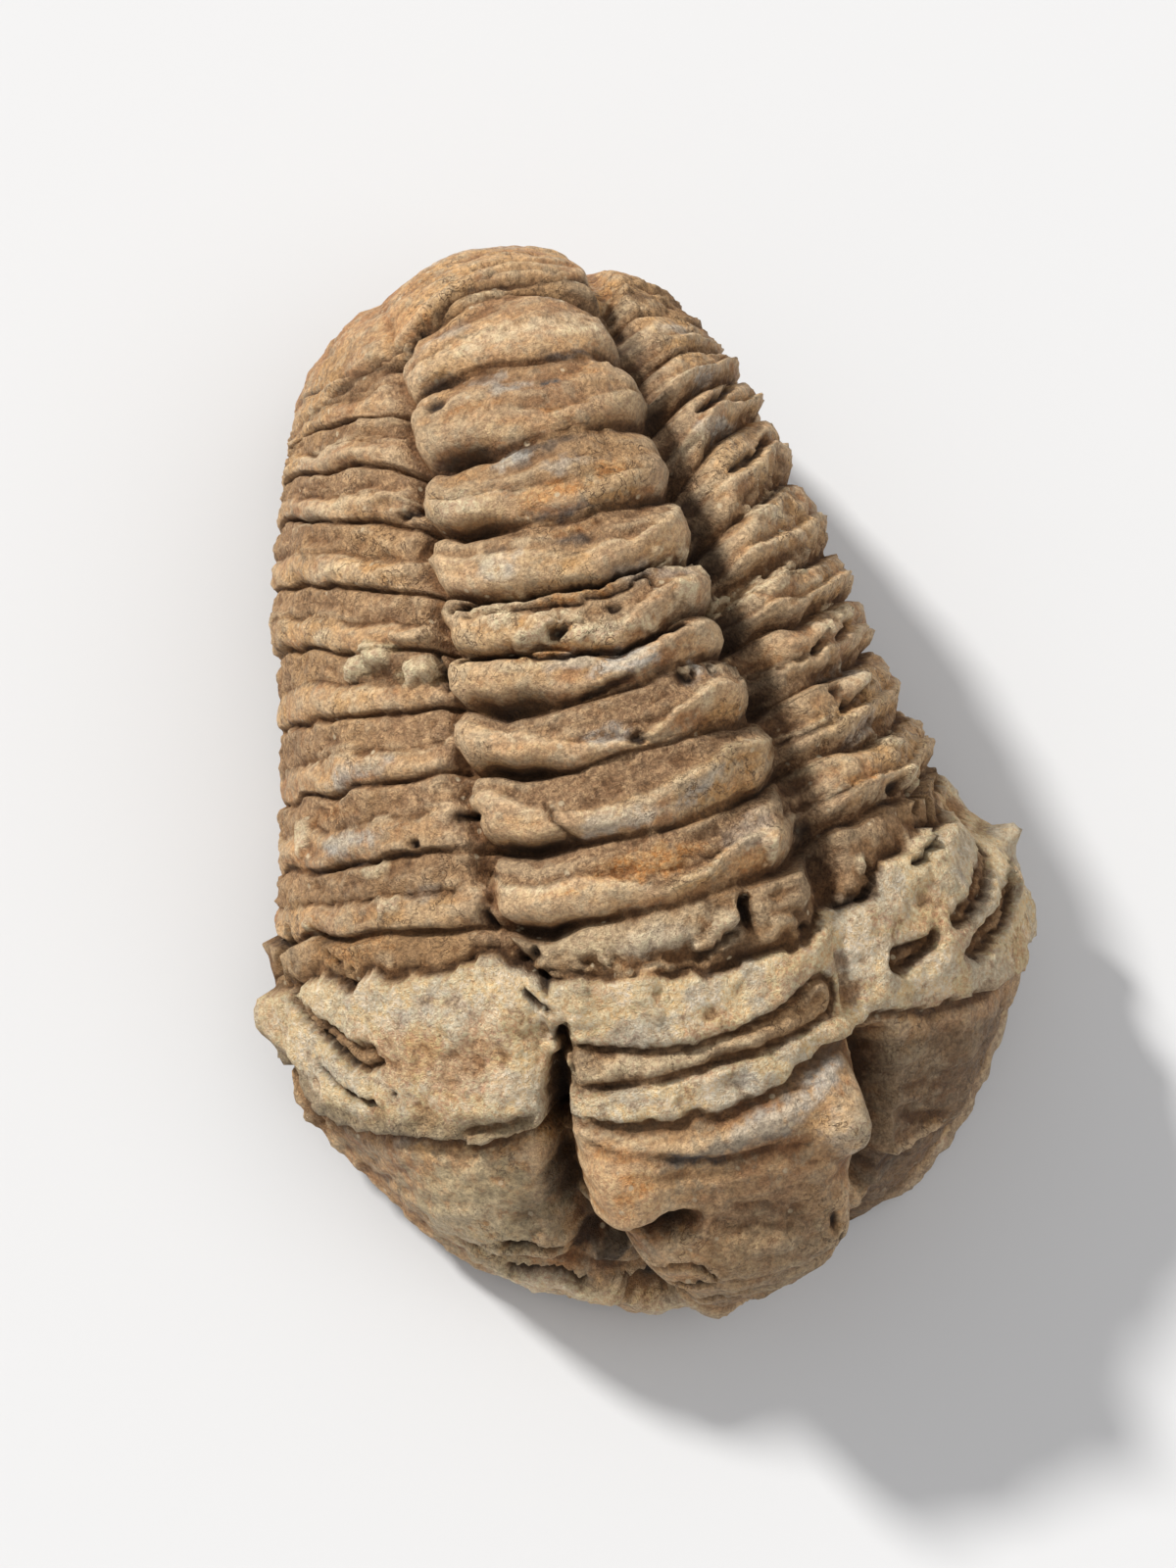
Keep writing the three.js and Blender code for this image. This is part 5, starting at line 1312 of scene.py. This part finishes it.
def limestone():
    """Brown rock, tan shell, buff sheet; dust, stains, dark low places, pale edges, painted shade,
    hairlines, chips.
    """
    m = Shader("weathered_limestone")
    clouds = m.noise(9 * MM)
    patches = m.noise(3.2 * MM, 5, 0.6, w=3)
    flecks = m.noise(1.1 * MM, 4, 0.65, w=7)
    grain = m.noise(0.30 * MM, 3, 0.75, w=11)
    fibres = m.noise(0.7 * MM, 5, 0.75, 1.2, w=17)
    veins = m.noise(2.4 * MM, 4, 0.6, 0.6, w=23)

    rock = m.blend(m.step(clouds, 0.40, 0.60), BROWN_ROCK, TAN_ROCK)
    rock = m.blend(m.step(patches, 0.50, 0.62, most=0.75), rock, DARK_ROCK)
    shell = m.blend(m.step(patches, 0.44, 0.58), SHELL_TAN, SHELL_RUST)
    shell = m.blend(m.step(clouds, 0.50, 0.58, most=0.6), shell, SHELL_OCHRE)
    shell = m.blend(m.step(flecks, 0.48, 0.62, most=0.7), shell, SHELL_GREY)
    shell = m.blend(m.step(veins, 0.56, 0.66, most=0.5), shell, BROWN_ROCK)
    sheet = m.blend(m.step(patches, 0.46, 0.54), SHEET_BUFF, SHEET_GREY)
    sheet = m.blend(m.step(veins, 0.52, 0.58, most=0.8), sheet, SHEET_PALE)
    sheet = m.blend(m.step(clouds, 0.50, 0.60, most=0.5), sheet, SHEET_RUST)
    sheet = m.blend(m.step(flecks, 0.55, 0.65, most=0.5), sheet, BROWN_ROCK)
    dust = m.blend(m.step(fibres, 0.44, 0.60), DUST, DUST_PALE)

    colour = m.blend(m.attribute("shell"), rock, shell)
    colour = m.blend(m.attribute("sheet"), colour, sheet)
    colour = m.blend(m.math("MULTIPLY", m.attribute("grit"), 0.8), colour, dust)
    ochre = m.blend(m.step(fibres, 0.42, 0.58), OCHRE, OCHRE_PALE)
    for name, tint in (("ochre", ochre), ("slate", SLATE), ("moss", MOSS), ("lead", LEAD),
                       ("chalk", CHALK)):
        broken = m.math("MULTIPLY", m.attribute(name), m.step(flecks, 0.32, 0.52))
        colour = m.blend(broken, colour, tint)

    stand_out = m.attribute("stand_out")
    # Darker where the surface lies below the mean height round it, paler where it stands above.
    colour = m.blend(m.step(stand_out, 0.5, 0.12, most=0.8), colour, LOW_PLACE_DARKENING, "MULTIPLY")
    colour = m.blend(m.step(stand_out, 0.62, 0.95, most=0.35), colour, CHALK)
    speckle = m.blend(m.step(grain, 0.34, 0.66), GRAIN_DARK, GRAIN_PALE)
    colour = m.blend(0.45, colour, speckle, "OVERLAY")
    hairline = m.step(m.math("ABSOLUTE", m.math("SUBTRACT", veins, 0.5), 0.0), 0.010, 0.002)
    hairline = m.math("MULTIPLY", hairline, m.step(clouds, 0.46, 0.56, most=0.7))
    hairline = m.math("MULTIPLY", hairline, m.step(m.attribute("sheet"), 0.0, 1.0, 1.0, 0.25))
    colour = m.blend(hairline, colour, DARK_ROCK)
    chips = m.math("MULTIPLY", m.step(m.spots(1.7 * MM), 0.16, 0.08), m.step(patches, 0.46, 0.54))
    colour = m.blend(m.math("MULTIPLY", chips, 0.8), colour, CHALK)
    # Painted shade: near black in furrows, pockets, cracks, pits and hollows, under lips, and over
    # faces turned from the light.
    colour = m.blend(m.attribute("hollow"), colour, SHADE_DARK)
    m.link(colour, "Base Color")

    m.link(m.step(m.math("ADD", m.attribute("shell"), flecks), 0.5, 1.6, 0.95, 0.55), "Roughness")
    m.skin.inputs["Specular IOR Level"].default_value = STONE_SHINE
    texture = m.math("ADD", m.math("MULTIPLY", fibres, 1.6), grain)
    texture = m.math("ADD", texture, m.math("MULTIPLY", flecks, 1.5))
    texture = m.math("SUBTRACT", texture, m.math("MULTIPLY", hairline, 0.6))
    texture = m.math("MULTIPLY", texture, m.step(m.attribute("shell"), 1.0, 0.0, 0.62, 1.0))
    texture = m.math("MULTIPLY", texture, m.step(m.attribute("sheet"), 0.0, 1.0, 1.0, 1.5))
    bump = m.node("Bump", {"Height": texture, "Strength": TEXTURE_STRENGTH,
                           "Distance": TEXTURE_DEPTH})
    m.link(bump.outputs["Normal"], "Normal")
    return m.material


def studio_paper():
    """Plain matt paper for the floor."""
    m = Shader("pale_paper")
    m.skin.inputs["Base Color"].default_value = (*PAPER, 1)
    m.skin.inputs["Roughness"].default_value = PAPER_ROUGHNESS
    return m.material


# ---------------------------------------------------------------- studio

FLOOR_REACH = 8

# The viewer looks down on the stone from a little towards its head and towards -X, and turned.
VIEW_TO_HEAD, VIEW_TO_MINUS_X, VIEW_ROLL = (math.radians(a) for a in (14, 6, -13))
VIEW_TARGET = Vector((-1.9, -0.5, 15.0)) * MM
VIEW_DISTANCE = 240 * MM
SENSOR_HEIGHT = 36
LENS = 74
NEAREST_SEEN = 0.01

# Each sun's name, strength, width in degrees and colour, then the way to it: how far to the
# viewer's right, how far up and how far to the viewer's side.
SUNS = [
    ("key", 4.05, 7, (1.0, 0.965, 0.91), (-0.62, 0.72, 0.52)),
    ("fill", 0.7, 50, (1.0, 0.96, 0.92), (0.5, 0.1, 0.9)),
]
SKY = (1.0, 0.98, 0.96)
SKY_STRENGTH = 0.53


def lay_floor():
    """A wide sheet of paper under the stone."""
    bm = bmesh.new()
    bmesh.ops.create_grid(bm, x_segments=1, y_segments=1, size=FLOOR_REACH)
    mesh = bpy.data.meshes.new("floor")
    bm.to_mesh(mesh)
    bm.free()
    mesh.materials.append(studio_paper())
    floor = bpy.data.objects.new("floor", mesh)
    bpy.context.scene.collection.objects.link(floor)


def view_axes():
    """The viewer's right, up and backward directions."""
    a, b, r = VIEW_TO_HEAD, VIEW_TO_MINUS_X, VIEW_ROLL
    back = Vector((-math.sin(b) * math.cos(a), -math.sin(a), math.cos(b) * math.cos(a)))
    back.normalize()
    level = Vector((0, 1, 0)).cross(back).normalized()
    rise = back.cross(level)
    right = math.cos(r) * level + math.sin(r) * rise
    up = math.cos(r) * rise - math.sin(r) * level
    return right, up, back


def set_camera(shift):
    """The camera, moved along with the fossil by `shift`."""
    right, up, back = view_axes()
    lens = bpy.data.cameras.new("camera")
    lens.sensor_fit = "VERTICAL"
    lens.sensor_height = SENSOR_HEIGHT
    lens.lens = LENS
    lens.clip_start = NEAREST_SEEN
    camera = bpy.data.objects.new("camera", lens)
    camera.matrix_world = Matrix((right, up, back)).transposed().to_4x4()
    camera.location = VIEW_TARGET + shift + back * VIEW_DISTANCE
    bpy.context.scene.collection.objects.link(camera)
    bpy.context.scene.camera = camera


def set_lights():
    """A main sun from upper left, a weak wide one and an even sky."""
    right, up, back = view_axes()
    for name, strength, width, colour, (rightward, upward, backward) in SUNS:
        lamp = bpy.data.lights.new(name, "SUN")
        lamp.energy = strength
        lamp.angle = math.radians(width)
        lamp.color = colour
        sun = bpy.data.objects.new(name, lamp)
        towards = rightward * right + upward * up + backward * back
        sun.rotation_euler = towards.to_track_quat("Z", "Y").to_euler()
        bpy.context.scene.collection.objects.link(sun)
    world = bpy.data.worlds.new("studio")
    world.use_nodes = True
    sky = world.node_tree.nodes["Background"]
    sky.inputs["Color"].default_value = (*SKY, 1)
    sky.inputs["Strength"].default_value = SKY_STRENGTH
    bpy.context.scene.world = world
    bpy.context.scene.view_settings.view_transform = "Standard"


# ---------------------------------------------------------------- the whole

fossil, shift = model_fossil()
fossil.data.materials.append(limestone())
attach(fossil, "root")
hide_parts(NODE)
lay_floor()
set_camera(shift)
set_lights()
